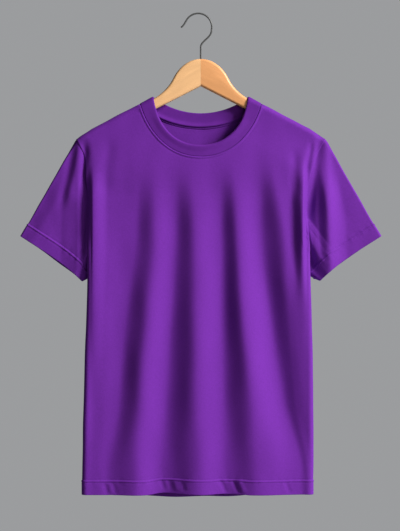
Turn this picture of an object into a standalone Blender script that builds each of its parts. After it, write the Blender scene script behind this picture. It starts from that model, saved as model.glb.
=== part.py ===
"""A short-sleeved crew-neck t-shirt hanging nearly flat on a plain wooden clothes hanger.

Units are metres and +Z is up. The shirt faces -Y, so the wearer's left is at +X. The origin is the
inside of the hook's crown, where a rail would carry the hanger, and x = 0 is the hook's stem.
Each cloth piece is an open sheet, worked out from its cut and from the lines of its folds, and given
its thickness. The front and back are half a tube each: past the front face the cloth turns round a
soft edge and runs back in, to a side seam that lies in a groove between the two.
"""

import math
from collections import namedtuple

import bmesh
import bpy
import numpy as np

# ---- Cloth -------------------------------------------------------------------------------------
WALL = 0.0012  # one layer of jersey
RIB_WALL = 0.0020  # the neck rib is folded double
SEAM_GAP = 0.0003  # kept between pieces that are sewn together
TAPE_WIDTH = 0.006
TAPE_WALL = 0.0010

# ---- The cut, as it hangs (x to the wearer's left, z up) -------------------------------------------
NECK_CORNER = (0.1100, -0.1626)  # where the rib seam crosses the shoulder
RIB_CORNER = (0.0860, -0.1500)  # where the rib's free edge crosses the shoulder
HANGER_TIP = (0.1980, -0.2086)  # the shoulder bends down past the hanger's tip
SHOULDER_POINT = (0.2265, -0.2275)
SLEEVE_POINT = (0.3270, -0.4030)  # top fold of the sleeve at its hem
SLEEVE_UNDER = (0.2160, -0.4840)  # lower fold of the sleeve at its hem
SLEEVE_INNER = (0.2050, -0.4800)  # underarm seam at the sleeve's hem
SLEEVE_HEM = (SLEEVE_POINT, (0.2830, -0.4310), (0.2430, -0.4550), SLEEVE_UNDER)
FRONT_HEM = -0.8700
BACK_HEM = -0.8780

# Quarter curves of the neck, from the shoulder to the centre: two end points and their two controls.
FRONT_SEAM = (NECK_CORNER, (0.0990, -0.2050), (0.0640, -0.2594), (0.0, -0.2594))
FRONT_FREE = (RIB_CORNER, (0.0800, -0.1950), (0.0540, -0.2385), (0.0, -0.2385))
BACK_SEAM = (NECK_CORNER, (0.0980, -0.1800), (0.0550, -0.2050), (0.0, -0.2050))
BACK_FREE = (RIB_CORNER, (0.0760, -0.1580), (0.0450, -0.1790), (0.0, -0.1790))

# The armhole, as flat distance from the centre line and height: down the chest, then under the arm.
ARMHOLE_CHEST = (SHOULDER_POINT, (0.1970, -0.2750), (0.1900, -0.3300), (0.1915, -0.3700))
ARMHOLE_UNDER = ((0.1915, -0.3700), (0.1930, -0.4200), (0.2030, -0.4530), (0.2320, -0.4620))

# ---- How far the cloth stands off the plane of the hanger ------------------------------------------
RIDGE_RADIUS = 0.0090  # the roll over the hanger and along the top of the sleeve
BODY_DEPTH = 0.0280
BODY_RISE = 0.1300  # distance below the shoulder over which the body reaches its depth
SLEEVE_DEPTH = 0.0200
SLEEVE_START = 0.2150  # the sleeve is shallower than the body outside this
SLEEVE_SPAN = 0.0600
WRAP_TOP = -0.3400  # the turned side edge forms between these two heights
WRAP_FULL = -0.4350
FOLDS_START = -0.2300  # the chest is smooth above this
FOLDS_FULL = -0.3300

# Below the armhole, at these heights: the half width of the outline, the radius of its turned edge,
# and half the flat width of the cloth, of which the rest runs in to the side seam.
OUTLINE_HEIGHTS = (-0.462, -0.64, -0.80, -0.88)
OUTLINE_LEFT = (0.1985, 0.2030, 0.2042, 0.2036)
OUTLINE_RIGHT = (0.2050, 0.2104, 0.2138, 0.2146)
EDGE_RADIUS = (0.0090, 0.0095, 0.0105, 0.0110)
FLAT_HALF = (0.2320, 0.2580, 0.2620, 0.2620)

# ---- Folds --------------------------------------------------------------------------------------
# Each row is the line of a crest or a valley, in millimetres: where it runs at these five heights,
# and how far it stands out there. Between neighbouring lines the cloth swings smoothly.
MILLIMETRE = 0.001
FOLD_HEIGHTS = (-0.27, -0.40, -0.54, -0.70, -0.84)
Fold = namedtuple("Fold", "line across out")
FRONT_FOLDS = (
    Fold("right sleeve flat", (-250, -256, -256, -256, -256), (-5, -6, -4, 0, 0)),
    Fold("right sleeve crest", (-230, -232, -232, -232, -232), (-1, -1, 0, 0, 0)),
    Fold("right arm valley", (-211, -214, -214, -214, -214), (-10, -18, -4, 0, 0)),
    Fold("right edge crest", (-192, -193, -193, -193, -192), (0, 0, 0, 0, 0)),
    Fold("first valley", (-125, -133, -147, -165, -181), (-3, -7, -7, -5, -2)),
    Fold("first crest", (-87, -86, -96, -108, -114), (-1, -2, 2, 3, 5)),
    Fold("second valley", (-50, -49, -58, -68, -78), (-3, -8, -8, -6, -3)),
    Fold("second crest", (-16, -11, -8, -3, 5), (-1, -1, 3, 5, 8)),
    Fold("third valley", (20, 28, 37, 37, 36), (-3, -9, -8, -4, 0)),
    Fold("third crest", (55, 66, 76, 92, 115), (-1, -2, 3, 7, 10)),
    Fold("fourth valley", (91, 108, 122, 139, 139), (-5, -12, -13, -10, 3)),
    Fold("fourth crest", (124, 149, 157, 168, 155), (-1, -4, -5, -7, 6)),
    Fold("fifth valley", (170, 175, 166, 179, 186), (-4, -6, -3, -4, -3)),
    Fold("left edge crest", (188, 189, 179, 192, 198), (0, 0, 0, 0, -1)),
    Fold("left arm valley", (200, 200, 206, 206, 206), (-7, -12, -3, 0, -1)),
    Fold("left sleeve crest", (229, 234, 237, 237, 237), (0, -1, -1, 0, 0)),
    Fold("left sleeve flat", (252, 262, 262, 262, 262), (-6, -8, -4, 0, 0)),
)
BACK_FOLDS = (
    Fold("right sleeve flat", (-262, -266, -266, -266, -266), (-5, -6, -4, 0, 0)),
    Fold("right sleeve crest", (-236, -240, -240, -240, -240), (-1, -1, 0, 0, 0)),
    Fold("right arm valley", (-206, -206, -206, -206, -206), (-8, -13, -3, 0, 0)),
    Fold("right edge crest", (-190, -190, -190, -192, -194), (0, 0, 0, 0, 0)),
    Fold("first valley", (-135, -142, -150, -152, -150), (-3, -8, -10, -8, -4)),
    Fold("first crest", (-98, -100, -104, -108, -110), (-1, -2, -1, 1, 4)),
    Fold("second valley", (-60, -58, -56, -50, -46), (-3, -7, -8, -6, -2)),
    Fold("second crest", (-20, -12, -4, 4, 10), (-1, -2, 2, 4, 7)),
    Fold("third valley", (30, 40, 50, 56, 58), (-3, -9, -10, -7, -2)),
    Fold("third crest", (74, 86, 96, 104, 108), (-1, -1, 2, 3, 5)),
    Fold("fourth valley", (122, 132, 142, 150, 156), (-4, -9, -9, -6, -3)),
    Fold("left edge crest", (192, 192, 190, 188, 190), (0, 0, 0, 0, 0)),
    Fold("left arm valley", (208, 210, 210, 210, 210), (-8, -14, -3, 0, 0)),
    Fold("left sleeve crest", (234, 238, 238, 238, 238), (0, -1, -1, 0, 0)),
    Fold("left sleeve flat", (256, 264, 264, 264, 264), (-6, -7, -4, 0, 0)),
)
Side = namedtuple("Side", "facing folds seam free hem neck_steps")
FRONT = Side(-1.0, FRONT_FOLDS, FRONT_SEAM, FRONT_FREE, FRONT_HEM, 14)
BACK = Side(1.0, BACK_FOLDS, BACK_SEAM, BACK_FREE, BACK_HEM, 10)

# ---- Steps of the sheets ---------------------------------------------------------------------------
SHOULDER_STEPS = 8
NECK_CROWDING = 1.6  # neck points crowd towards the shoulder, where the cloth rolls over
# Distance down the armhole, or down a panel, of each row near the shoulder, then shares of the rest.
ROLL_ROWS = (0.0, 0.0002, 0.0018, 0.0052, 0.0105)
ARM_SHARES = (0.13, 0.29, 0.46, 0.62, 0.75, 0.82, 0.88, 0.93, 0.965, 1.0)
BODY_SHARES = (0.08, 0.18, 0.30, 0.43, 0.57, 0.71, 0.86, 1.0)
SIDE_EDGE_HEM = 0.1900  # flat distance where the closely spaced side columns start below the armhole
SIDE_PULL = 3.0  # how fast the armhole's shape fades into the panel
SLEEVE_ROWS = (0.0, 0.07, 0.22, 0.40, 0.60, 0.80, 1.0)
SLEEVE_LIFTS = (0.0015, 0.0034, 0.0030, 0.0020, 0.0008, 0.0, 0.0)  # under the arm, off the body
LIFT_SHARES = (0.45, 0.70)  # shares of the armhole over which that lift grows
UNDER_SHARE = 0.83  # share of the armhole at which the sleeve turns under
UNDER_DEPTH = 0.0070  # how far its lower fold stands off the hanger's plane at the hem
HEM_CLOSES = 0.70  # share of the hem, from the top, where it starts to come in to the lower fold
SLEEVE_FREE = 0.55  # share of the armhole above which the sleeve follows the table of folds
RIB_ROWS = (0.0, 0.33, 0.67, 1.0)
RIB_CROWN = 0.0008  # the rib's width is slightly rounded
RIB_TOP = 0.0040  # nearer the hanger's plane than this, the rib lies on top of the shoulder
TAPE_FROM = 0.30  # share of the neck's quarter where the tape starts
TAPE_STEPS = 8
TAPE_DROP = 0.0012  # the tape's upper edge, below the rib's seam

# ---- Hanger ----------------------------------------------------------------------------------------
WOOD_THICK = 0.0120
WOOD_EDGE = 0.0045
WOOD_TOP = -0.0813
WOOD_NOTCH = -0.1310
WOOD_BELOW_RIDGE = 0.0042  # clear of the cloth that lies over it
WOOD_HEIGHT_IN = 0.0205
WOOD_HEIGHT_OUT = 0.0160
WOOD_END = 0.1830
WOOD_REACH = 0.1930  # controls of the arm's rounded end lie at and just past this
WOOD_BROW = ((0.0, WOOD_TOP), (0.0210, WOOD_TOP), (0.0400, -0.0960), (0.0500, -0.1165))
WOOD_HOLLOW = ((0.0500, -0.1165), (0.0570, -0.1310), (0.0680, -0.1431))  # and the arm's start
WOOD_STEPS = 6
SHARP_ANGLE = 60.0  # degrees; the outline's corners turn less than this
ROUNDING_STEPS = 3
GLUE_GAP = 0.0003
WIRE_RADIUS = 0.00155
HOOK_RADIUS = 0.0246  # to the middle of the wire
HOOK_CENTRE = (-0.0045, WIRE_RADIUS - HOOK_RADIUS)
HOOK_FROM = -12.0  # degrees, where the S-bend meets the arc
HOOK_TO = 148.0  # degrees, where the arc opens to the tip
HOOK_ARC_STEPS = 20
HOOK_STEM_TOP = -0.0700
HOOK_BEND = ((0.0, -0.0600), (0.0, -0.0480), (0.0205, -0.0430))  # and the arc's start
HOOK_BEND_STEPS = 8
HOOK_LEAD = 0.0050  # straight on from the arc's end before the tip turns down
HOOK_TIP = ((-0.0310, -0.0170), (-0.0362, -0.0238))
HOOK_TIP_STEPS = 4
HOOK_SHANK = 0.0240
HOOK_CLEARANCE = 0.0003
BORE_SIDES = 16

# ---- Colours ---------------------------------------------------------------------------------------
PURPLE = (0.155, 0.030, 0.320)
RIB_PURPLE = (0.140, 0.028, 0.295)
RIGHT_WOOD = (0.80, 0.46, 0.22)
LEFT_WOOD = (0.76, 0.39, 0.16)
STEEL = (0.050, 0.050, 0.055)


def smooth(value):
    """0 to 1 with a soft start and end."""
    held = np.clip(value, 0.0, 1.0)
    return held * held * (3.0 - 2.0 * held)


def bezier(curve, share):
    """Points of a cubic curve, given as its start, two controls and end."""
    ends = [np.array(point) for point in curve]
    t = np.asarray(share, dtype=float)[:, None]
    near = (1 - t) ** 3 * ends[0] + 3 * (1 - t) ** 2 * t * ends[1]
    return near + 3 * (1 - t) * t**2 * ends[2] + t**3 * ends[3]


def slopes(places, values):
    """Slopes of a curve through the values that never overshoots them."""
    step = np.diff(places, axis=0)
    grade = np.diff(values, axis=0) / step
    inner = grade[:-1] * grade[1:]
    mean = 2.0 * inner / np.where(inner > 0, grade[:-1] + grade[1:], 1.0)
    flat = np.zeros_like(grade[:1])
    return np.concatenate([flat, np.where(inner > 0, mean, 0.0), flat])


def swing(places, values, where):
    """Read that curve at one place per column. Outside its ends it stays level."""
    where = np.clip(where, places[0], places[-1])
    grades = slopes(places, values)
    index = np.clip((places <= where).sum(axis=0) - 1, 0, len(places) - 2)
    column = np.arange(len(where))
    low, high = places[index, column], places[index + 1, column]
    width = high - low
    t = (where - low) / width
    start, end = values[index, column], values[index + 1, column]
    rise = grades[index, column] * width
    fall = grades[index + 1, column] * width
    blend = t * t * (3 - 2 * t)
    return start + (end - start) * blend + rise * t * (1 - t) ** 2 - fall * t * t * (1 - t)


def along(stations, values, where):
    """Read one row of a table, given at falling heights, at many heights."""
    count = len(where)
    places = np.repeat(-np.array(stations)[:, None], count, axis=1)
    table = np.repeat(np.array(values)[:, None], count, axis=1)
    return swing(places, table, -np.asarray(where))


def fold_relief(folds, across, height):
    """How far the folds push the cloth out."""
    places = MILLIMETRE * np.array([along(FOLD_HEIGHTS, fold.across, height) for fold in folds])
    values = MILLIMETRE * np.array([along(FOLD_HEIGHTS, fold.out, height) for fold in folds])
    grown = smooth((FOLDS_START - height) / (FOLDS_START - FOLDS_FULL))
    return swing(places, values, across) * grown


def below_ridge(across, height):
    """Distance of a point below the line of the shoulder and the top of the sleeve."""
    corners = (RIB_CORNER, HANGER_TIP, SHOULDER_POINT, SLEEVE_POINT)
    distances = []
    for (x0, z0), (x1, z1) in zip(corners, corners[1:]):
        length = math.hypot(x1 - x0, z1 - z0)
        distances.append(((z0 - height) * (x1 - x0) - (x0 - np.abs(across)) * (z1 - z0)) / length)
    return np.maximum(np.min(distances, axis=0), 0.0)


def stand_off(side, across, height):
    """Distance of the front or back cloth from the plane of the hanger."""
    drop = below_ridge(across, height)
    roll = np.minimum(drop, RIDGE_RADIUS)
    rounded = np.sqrt(RIDGE_RADIUS**2 - (RIDGE_RADIUS - roll) ** 2)
    outside = smooth((np.abs(across) - SLEEVE_START) / SLEEVE_SPAN)
    depth = BODY_DEPTH + (SLEEVE_DEPTH - BODY_DEPTH) * outside
    rise = BODY_RISE * (1.0 - 0.5 * outside)
    grown = smooth(drop / rise)
    return rounded + (depth - RIDGE_RADIUS) * grown + fold_relief(side.folds, across, height) * grown


def turned_edge(side, spread, height, half_width):
    """x and stand-off of cloth that turns round the side edge and runs in to the side seam."""
    radius = along(OUTLINE_HEIGHTS, EDGE_RADIUS, height)
    start = half_width - radius
    out = stand_off(side, np.sign(spread) * start, height)
    groove = out - 2 * radius
    flat_half = along(OUTLINE_HEIGHTS, FLAT_HALF, height)
    run = np.maximum(flat_half - start - math.pi * radius - groove * math.pi / 2, 0.0)
    past = np.abs(spread) - start
    turn = np.clip(past / radius, 0.0, math.pi)
    inward = np.clip(past - math.pi * radius, 0.0, run)
    close = np.clip((past - math.pi * radius - run) / groove, 0.0, math.pi / 2)
    x = start + radius * np.sin(turn) - inward - groove * np.sin(close)
    y = out - radius * (1 - np.cos(turn)) - groove * (1 - np.cos(close))
    return x, y


def body_point(side, spread, height):
    """Where a point of the front or back panel hangs, from its flat distance and its height."""
    left = along(OUTLINE_HEIGHTS, OUTLINE_LEFT, height)
    right = along(OUTLINE_HEIGHTS, OUTLINE_RIGHT, height)
    half_width = np.where(spread > 0, left, right)
    start = half_width - along(OUTLINE_HEIGHTS, EDGE_RADIUS, height)
    open_out = stand_off(side, spread, height)
    edge_x, edge_out = turned_edge(side, spread, height, half_width)
    wrapped = smooth((WRAP_TOP - height) / (WRAP_TOP - WRAP_FULL)) * (np.abs(spread) > start)
    x = np.abs(spread) * (1 - wrapped) + edge_x * wrapped
    out = open_out * (1 - wrapped) + edge_out * wrapped
    return np.stack([np.sign(spread) * x, side.facing * out, height], axis=-1)


def armhole_path():
    """Closely spaced points down the armhole, and the length from the shoulder to each."""
    fine = np.linspace(0.0, 1.0, 200)
    path = np.concatenate([bezier(ARMHOLE_CHEST, fine), bezier(ARMHOLE_UNDER, fine)[1:]])
    steps = np.linalg.norm(np.diff(path, axis=0), axis=1)
    return path, np.concatenate([[0.0], np.cumsum(steps)])


def armhole_shares():
    """Shares of the armhole's length at which both the panels and the sleeve have a point."""
    length = armhole_path()[1][-1]
    roll = [distance / length for distance in ROLL_ROWS]
    return np.array(roll + [roll[-1] + (1 - roll[-1]) * share for share in ARM_SHARES])


def armhole(shares):
    """Flat distance and height of points on the armhole, evenly along its length."""
    path, length = armhole_path()
    wanted = np.asarray(shares) * length[-1]
    return np.stack([np.interp(wanted, length, path[:, axis]) for axis in (0, 1)], axis=-1)


def sheet(name, points, closed=False):
    """A grid of points, [row, column], as an open mesh that faces away from the shirt's inside."""
    rows, columns = points.shape[:2]
    work = bmesh.new()
    bmesh.ops.create_grid(work, x_segments=columns - 1, y_segments=rows - 1, size=0.5)
    for vertex in work.verts:
        column = round((vertex.co.x + 0.5) * (columns - 1))
        row = round((0.5 - vertex.co.y) * (rows - 1))
        vertex.co = points[row, column]
    if closed:
        bmesh.ops.remove_doubles(work, verts=work.verts, dist=0.00001)
    mesh = bpy.data.meshes.new(name)
    work.to_mesh(mesh)
    work.free()
    mesh.shade_smooth()
    return mesh


def cloth(name, points, wall, material, closed=False):
    """A cloth piece: its sheet, with the wall's thickness added on the inside."""
    piece = bpy.data.objects.new(name, sheet(name, points, closed))
    thick = piece.modifiers.new("wall", "SOLIDIFY")
    thick.thickness = wall
    thick.offset = -1.0
    thick.use_quality_normals = True
    piece.data.materials.append(material)
    PARTS.objects.link(piece)
    return piece


def neck_shares(steps):
    """Shares of a quarter of the neck, crowded towards the shoulder."""
    return (np.arange(steps + 1) / steps) ** NECK_CROWDING


def panel_top(side):
    """Half of the panel's top edge, from the shoulder point along the shoulder to the neck's centre."""
    corners = np.array([SHOULDER_POINT, HANGER_TIP, NECK_CORNER])
    across = np.linspace(SHOULDER_POINT[0], NECK_CORNER[0], SHOULDER_STEPS + 1)[:-1]
    height = np.interp(across, corners[::-1, 0], corners[::-1, 1])
    shoulder = np.stack([across, height], axis=-1)
    return np.concatenate([shoulder, bezier(side.seam, neck_shares(side.neck_steps))])


def half_row(side, share, edge):
    """Flat distances and heights of one row of half a panel that ends at a share of the armhole."""
    top = panel_top(side)
    settled = smooth(share)
    inner = NECK_CORNER[0] + (SIDE_EDGE_HEM - NECK_CORNER[0]) * settled
    outward = np.linspace(1.0, 0.0, SHOULDER_STEPS + 1)[:-1]
    sides = inner + (edge[0] - inner) * outward
    even = np.linspace(1.0, 0.0, side.neck_steps + 1)
    crowded = top[SHOULDER_STEPS:, 0] / NECK_CORNER[0]
    middle = inner * (crowded + (even - crowded) * settled)
    spread = np.concatenate([sides, middle])
    height = top[:, 1] + (ARMHOLE_UNDER[-1][1] - top[:, 1]) * share
    return spread, height + (edge[1] - height[0]) * (spread / edge[0]) ** SIDE_PULL


def panel(side):
    """Points of the front or back panel, [row, column]."""
    shares = armhole_shares()
    arm = armhole(shares)
    halves = [half_row(side, share, edge) for share, edge in zip(shares, arm)]
    for share in BODY_SHARES:
        level = arm[-1, 1] + (side.hem - arm[-1, 1]) * share
        flat_half = along(OUTLINE_HEIGHTS, FLAT_HALF, [level])[0]
        spread, _ = half_row(side, 1.0, (flat_half, level))
        halves.append((spread, np.full(len(spread), level)))
    rows = []
    for spread, height in halves:
        right = body_point(side, -spread, height)
        left = body_point(side, spread, height)
        rows.append(np.concatenate([right, left[::-1][1:]]))
    return seam_clear(np.array(rows), side)


def seam_clear(points, side):
    """Draw the panel's edges back by half of the seam's gap."""
    half_gap = SEAM_GAP / 2
    for edge, inner in ((points[:, 0], points[:, 1]), (points[:, -1], points[:, -2])):
        step = inner - edge
        edge += half_gap * step / np.linalg.norm(step, axis=1)[:, None]
    step = points[1] - points[0]
    points[0] += half_gap * step / np.linalg.norm(step, axis=1)[:, None]
    on_ridge = np.abs(points[0, :, 1]) < half_gap
    points[0, on_ridge, 1] = side.facing * half_gap
    return points


def sleeve_hem(side, sign, shares):
    """The sleeve's open end, from its top fold round its lower fold to the underarm seam."""
    front = np.clip(shares / UNDER_SHARE, 0.0, 1.0)
    flat = bezier(SLEEVE_HEM, front)
    x, z = sign * flat[:, 0], flat[:, 1]
    out = stand_off(side, x, z)
    out += (UNDER_DEPTH - out) * smooth((front - HEM_CLOSES) / (1 - HEM_CLOSES))
    turn = np.clip((shares - UNDER_SHARE) / (1 - UNDER_SHARE), 0.0, 1.0)
    inner = (1 - np.cos(turn * math.pi / 2))
    x += sign * (SLEEVE_INNER[0] - SLEEVE_UNDER[0]) * inner
    z += (SLEEVE_INNER[1] - SLEEVE_UNDER[1]) * inner
    out *= 1 - np.sin(turn * math.pi / 2)
    return np.stack([x, side.facing * out, z], axis=-1)


def away_from_body(side, spread, height):
    """Direction in which the outer face of a panel looks."""
    step = 0.0005
    across = body_point(side, spread + step, height) - body_point(side, spread - step, height)
    down = body_point(side, spread, height - step) - body_point(side, spread, height + step)
    normal = side.facing * np.cross(across, down)
    return normal / np.linalg.norm(normal, axis=1)[:, None]


def sleeve(sign):
    """Points of one sleeve, [row from the seam to the hem, column round it]."""
    shares = armhole_shares()
    arm = armhole(shares)
    halves = []
    lifted = smooth((shares - LIFT_SHARES[0]) / (LIFT_SHARES[1] - LIFT_SHARES[0]))[:, None]
    for side in (FRONT, BACK):
        start = body_point(side, sign * arm[:, 0], arm[:, 1])
        away = away_from_body(side, sign * arm[:, 0], arm[:, 1]) * lifted
        end = sleeve_hem(side, sign, shares)
        free = 1 - smooth((shares - SLEEVE_FREE) / (UNDER_SHARE - SLEEVE_FREE))
        base = [stand_off(side, edge[:, 0], edge[:, 2]) for edge in (start, end)]
        rows = []
        for level, lift in zip(SLEEVE_ROWS, SLEEVE_LIFTS):
            points = start + (end - start) * level
            hung = stand_off(side, points[:, 0], points[:, 2])
            extra = hung - base[0] * (1 - level) - base[1] * level
            points[:, 1] += side.facing * extra * free
            rows.append(points + away * lift)
        halves.append(np.array(rows))
    front, back = halves
    points = np.concatenate([front[:, ::-1], back[:, 1:]], axis=1)
    points[:, 0, 1] = -SEAM_GAP / 2
    points[:, -1, 1] = SEAM_GAP / 2
    step = points[1] - points[0]
    points[0] += SEAM_GAP / 2 * step / np.linalg.norm(step, axis=1)[:, None]
    return points if sign < 0 else points[:, ::-1]


def neck_ring(curve_name):
    """The whole neck curve, closed, clockwise from the wearer's left shoulder through the front."""
    quarters = []
    for side in (FRONT, BACK):
        flat = bezier(getattr(side, curve_name), neck_shares(side.neck_steps))
        out = side.facing * stand_off(side, flat[:, 0], flat[:, 1])
        left = np.stack([flat[:, 0], out, flat[:, 1]], axis=-1)
        mirror_out = side.facing * stand_off(side, -flat[:, 0], flat[:, 1])
        right = np.stack([-flat[:, 0], mirror_out, flat[:, 1]], axis=-1)
        quarters.append((left, right))
    (front_left, front_right), (back_left, back_right) = quarters
    front = np.concatenate([front_left, front_right[::-1][1:]])
    back = np.concatenate([back_right[1:], back_left[::-1][1:]])
    return np.concatenate([front, back])


def rib():
    """Points of the neck rib, [row from its free edge to its seam, column round the neck]."""
    free, seam = neck_ring("free"), neck_ring("seam")
    on_top = np.abs(seam[:, 1]) < RIB_TOP
    outward = np.stack([np.zeros(len(seam)), np.sign(seam[:, 1]), on_top], axis=-1)
    rows = []
    for level in RIB_ROWS:
        points = free + (seam - free) * level
        crown = RIB_CROWN * math.sin(math.pi * level) + (RIB_WALL - WALL) / 2
        rows.append(points + outward * crown)
    points = np.array(rows)
    step = points[-2] - points[-1]
    points[-1] += SEAM_GAP / 2 * step / np.linalg.norm(step, axis=1)[:, None]
    return points


def tape():
    """Points of the strip inside the back neck, just under the rib's seam."""
    share = np.linspace(TAPE_FROM, 1.0, TAPE_STEPS + 1)
    half = bezier(BACK_SEAM, share)
    flat = np.concatenate([half * (-1.0, 1.0), half[::-1][1:]])
    rows = []
    for drop in (TAPE_DROP, TAPE_WIDTH):
        height = flat[:, 1] - drop
        inside = stand_off(BACK, flat[:, 0], height) - WALL - 2 * SEAM_GAP
        rows.append(np.stack([flat[:, 0], inside, height], axis=-1))
    return np.array(rows)


def finish(name, color, roughness, metallic=0.0):
    """A plain material."""
    material = bpy.data.materials.new(name)
    material.use_nodes = True
    shader = material.node_tree.nodes["Principled BSDF"]
    shader.inputs["Base Color"].default_value = (*color, 1.0)
    shader.inputs["Roughness"].default_value = roughness
    shader.inputs["Metallic"].default_value = metallic
    return material


def hook_shape():
    """Centre line of the hook's wire, from its shank in the wood round to its open tip."""
    centre = np.array(HOOK_CENTRE)
    turn = np.radians(np.linspace(HOOK_FROM, HOOK_TO, HOOK_ARC_STEPS + 1))
    arc = centre + HOOK_RADIUS * np.stack([np.cos(turn), np.sin(turn)], axis=-1)
    bend = bezier((*HOOK_BEND, arc[0]), np.linspace(0.0, 1.0, HOOK_BEND_STEPS + 1))
    lead = arc[-1] + HOOK_LEAD * np.array([-math.sin(turn[-1]), math.cos(turn[-1])])
    tip = bezier((arc[-1], lead, *HOOK_TIP), np.linspace(0.0, 1.0, HOOK_TIP_STEPS + 1))
    shank = np.array([(0.0, WOOD_TOP - HOOK_SHANK), (0.0, WOOD_TOP), (0.0, HOOK_STEM_TOP)])
    return np.concatenate([shank, bend, arc[1:], tip[1:]])


def hanger_hook():
    """The bent wire, open at its tip."""
    curve = bpy.data.curves.new("hanger_hook", "CURVE")
    curve.dimensions = "3D"
    curve.bevel_depth = WIRE_RADIUS
    curve.bevel_resolution = 2
    curve.use_fill_caps = True
    line = curve.splines.new("POLY")
    path = hook_shape()
    line.points.add(len(path) - 1)
    for point, (x, z) in zip(line.points, path):
        point.co = (x, 0.0, z, 1.0)
    hook = bpy.data.objects.new("hanger_hook", curve)
    hook.data.materials.append(finish("dark steel", STEEL, 0.35, 1.0))
    PARTS.objects.link(hook)
    return hook


def wood_outline():
    """Half of the hanger's outline: bell-shaped neck, sloping arm, rounded tip, notch below."""
    slope = (HANGER_TIP[1] - RIB_CORNER[1]) / (HANGER_TIP[0] - RIB_CORNER[0])
    arm_in = (RIB_CORNER[0], RIB_CORNER[1] - WOOD_BELOW_RIDGE)
    arm_out = (WOOD_END, RIB_CORNER[1] - WOOD_BELOW_RIDGE + slope * (WOOD_END - RIB_CORNER[0]))
    share = np.linspace(0.0, 1.0, WOOD_STEPS + 1)
    low = arm_out[1] - WOOD_HEIGHT_OUT
    over_end, under_end = (WOOD_REACH, arm_out[1] - 0.0052), (WOOD_REACH + 0.0010, low - 0.0020)
    end = bezier((arm_out, over_end, under_end, (WOOD_END, low)), share)
    under = np.array([(RIB_CORNER[0], arm_in[1] - WOOD_HEIGHT_IN), (0.0, WOOD_NOTCH)])
    return np.concatenate([bezier(WOOD_BROW, share), bezier((*WOOD_HOLLOW, arm_in), share)[1:], end, under])


def hanger_half(name, sign, color):
    """One wooden arm, cut for the hook's shank and rounded along every edge but the glued one."""
    outline = wood_outline() * (sign, 1.0)
    glued = sign * GLUE_GAP / 2
    outline[:, 0] = np.where(np.abs(outline[:, 0]) < abs(glued), glued, outline[:, 0])
    curve = bpy.data.curves.new(name, "CURVE")
    curve.dimensions = "2D"
    curve.fill_mode = "BOTH"
    curve.extrude = WOOD_THICK / 2
    line = curve.splines.new("POLY")
    line.points.add(len(outline) - 1)
    for point, (x, z) in zip(line.points, outline):
        point.co = (x, z, 0.0, 1.0)
    line.use_cyclic_u = True
    flat = bpy.data.objects.new("outline", curve)
    flat.rotation_euler = (math.pi / 2, 0.0, 0.0)
    PARTS.objects.link(flat)
    bpy.context.view_layer.update()
    mesh = bpy.data.meshes.new_from_object(flat.evaluated_get(bpy.context.evaluated_depsgraph_get()))
    mesh.name = name
    mesh.transform(flat.matrix_world)
    bpy.data.objects.remove(flat)
    work = bmesh.new()
    work.from_mesh(mesh)
    bmesh.ops.remove_doubles(work, verts=work.verts, dist=0.00001)
    bmesh.ops.dissolve_limit(work, angle_limit=math.radians(1), verts=work.verts, edges=work.edges)
    weight = work.edges.layers.float.new("bevel_weight_edge")
    for edge in work.edges:
        apart = edge.calc_face_angle(0.0) > math.radians(SHARP_ANGLE)
        along_glue = all(abs(vertex.co.x) < GLUE_GAP for vertex in edge.verts)
        on_rim = all(abs(abs(vertex.co.y) - WOOD_THICK / 2) < 0.0001 for vertex in edge.verts)
        edge[weight] = float(apart and on_rim and not along_glue)
    work.to_mesh(mesh)
    work.free()
    half = bpy.data.objects.new(name, mesh)
    rounded = half.modifiers.new("rounded edges", "BEVEL")
    rounded.limit_method = "WEIGHT"
    rounded.width = WOOD_EDGE
    rounded.segments = ROUNDING_STEPS
    bore = half.modifiers.new("shank bore", "BOOLEAN")
    bore.object = shank_cutter()
    half.data.materials.append(finish(name + " wood", color, 0.4))
    PARTS.objects.link(half)
    return half


def shank_cutter():
    """The blind bore for the hook's shank, in the joint between the two arms."""
    existing = bpy.data.objects.get("shank_cutter")
    if existing:
        return existing
    work = bmesh.new()
    radius = WIRE_RADIUS + HOOK_CLEARANCE
    depth = HOOK_SHANK + HOOK_CLEARANCE
    bmesh.ops.create_cone(
        work, cap_ends=True, segments=BORE_SIDES, radius1=radius, radius2=radius, depth=2 * depth
    )
    bmesh.ops.translate(work, verts=work.verts, vec=(0.0, 0.0, WOOD_TOP))
    mesh = bpy.data.meshes.new("shank_cutter")
    work.to_mesh(mesh)
    work.free()
    cutter = bpy.data.objects.new("shank_cutter", mesh)
    cutter.hide_render = True
    cutter.display_type = "WIRE"
    CUTTERS.objects.link(cutter)
    return cutter


def collection(name):
    """A new collection in the scene."""
    made = bpy.data.collections.new(name)
    bpy.context.scene.collection.children.link(made)
    return made


for thing in list(bpy.data.objects):
    bpy.data.objects.remove(thing)
PARTS = collection("t_shirt_on_hanger")
CUTTERS = collection("cutters")

cloth("front", panel(FRONT), WALL, finish("front jersey", PURPLE, 0.85))
cloth("back", panel(BACK)[:, ::-1], WALL, finish("back jersey", PURPLE, 0.85))
cloth("sleeve_left", sleeve(1.0), WALL, finish("left sleeve jersey", PURPLE, 0.85))
cloth("sleeve_right", sleeve(-1.0), WALL, finish("right sleeve jersey", PURPLE, 0.85))
neck = np.concatenate([rib(), rib()[:, :1]], axis=1)
cloth("neck_rib", neck[:, ::-1], RIB_WALL, finish("rib knit", RIB_PURPLE, 0.85), closed=True)
cloth("neck_tape", tape()[:, ::-1], TAPE_WALL, finish("neck tape", PURPLE, 0.85))
hanger_half("hanger_right", -1.0, RIGHT_WOOD)
hanger_half("hanger_left", 1.0, LEFT_WOOD)
hanger_hook()
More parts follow.
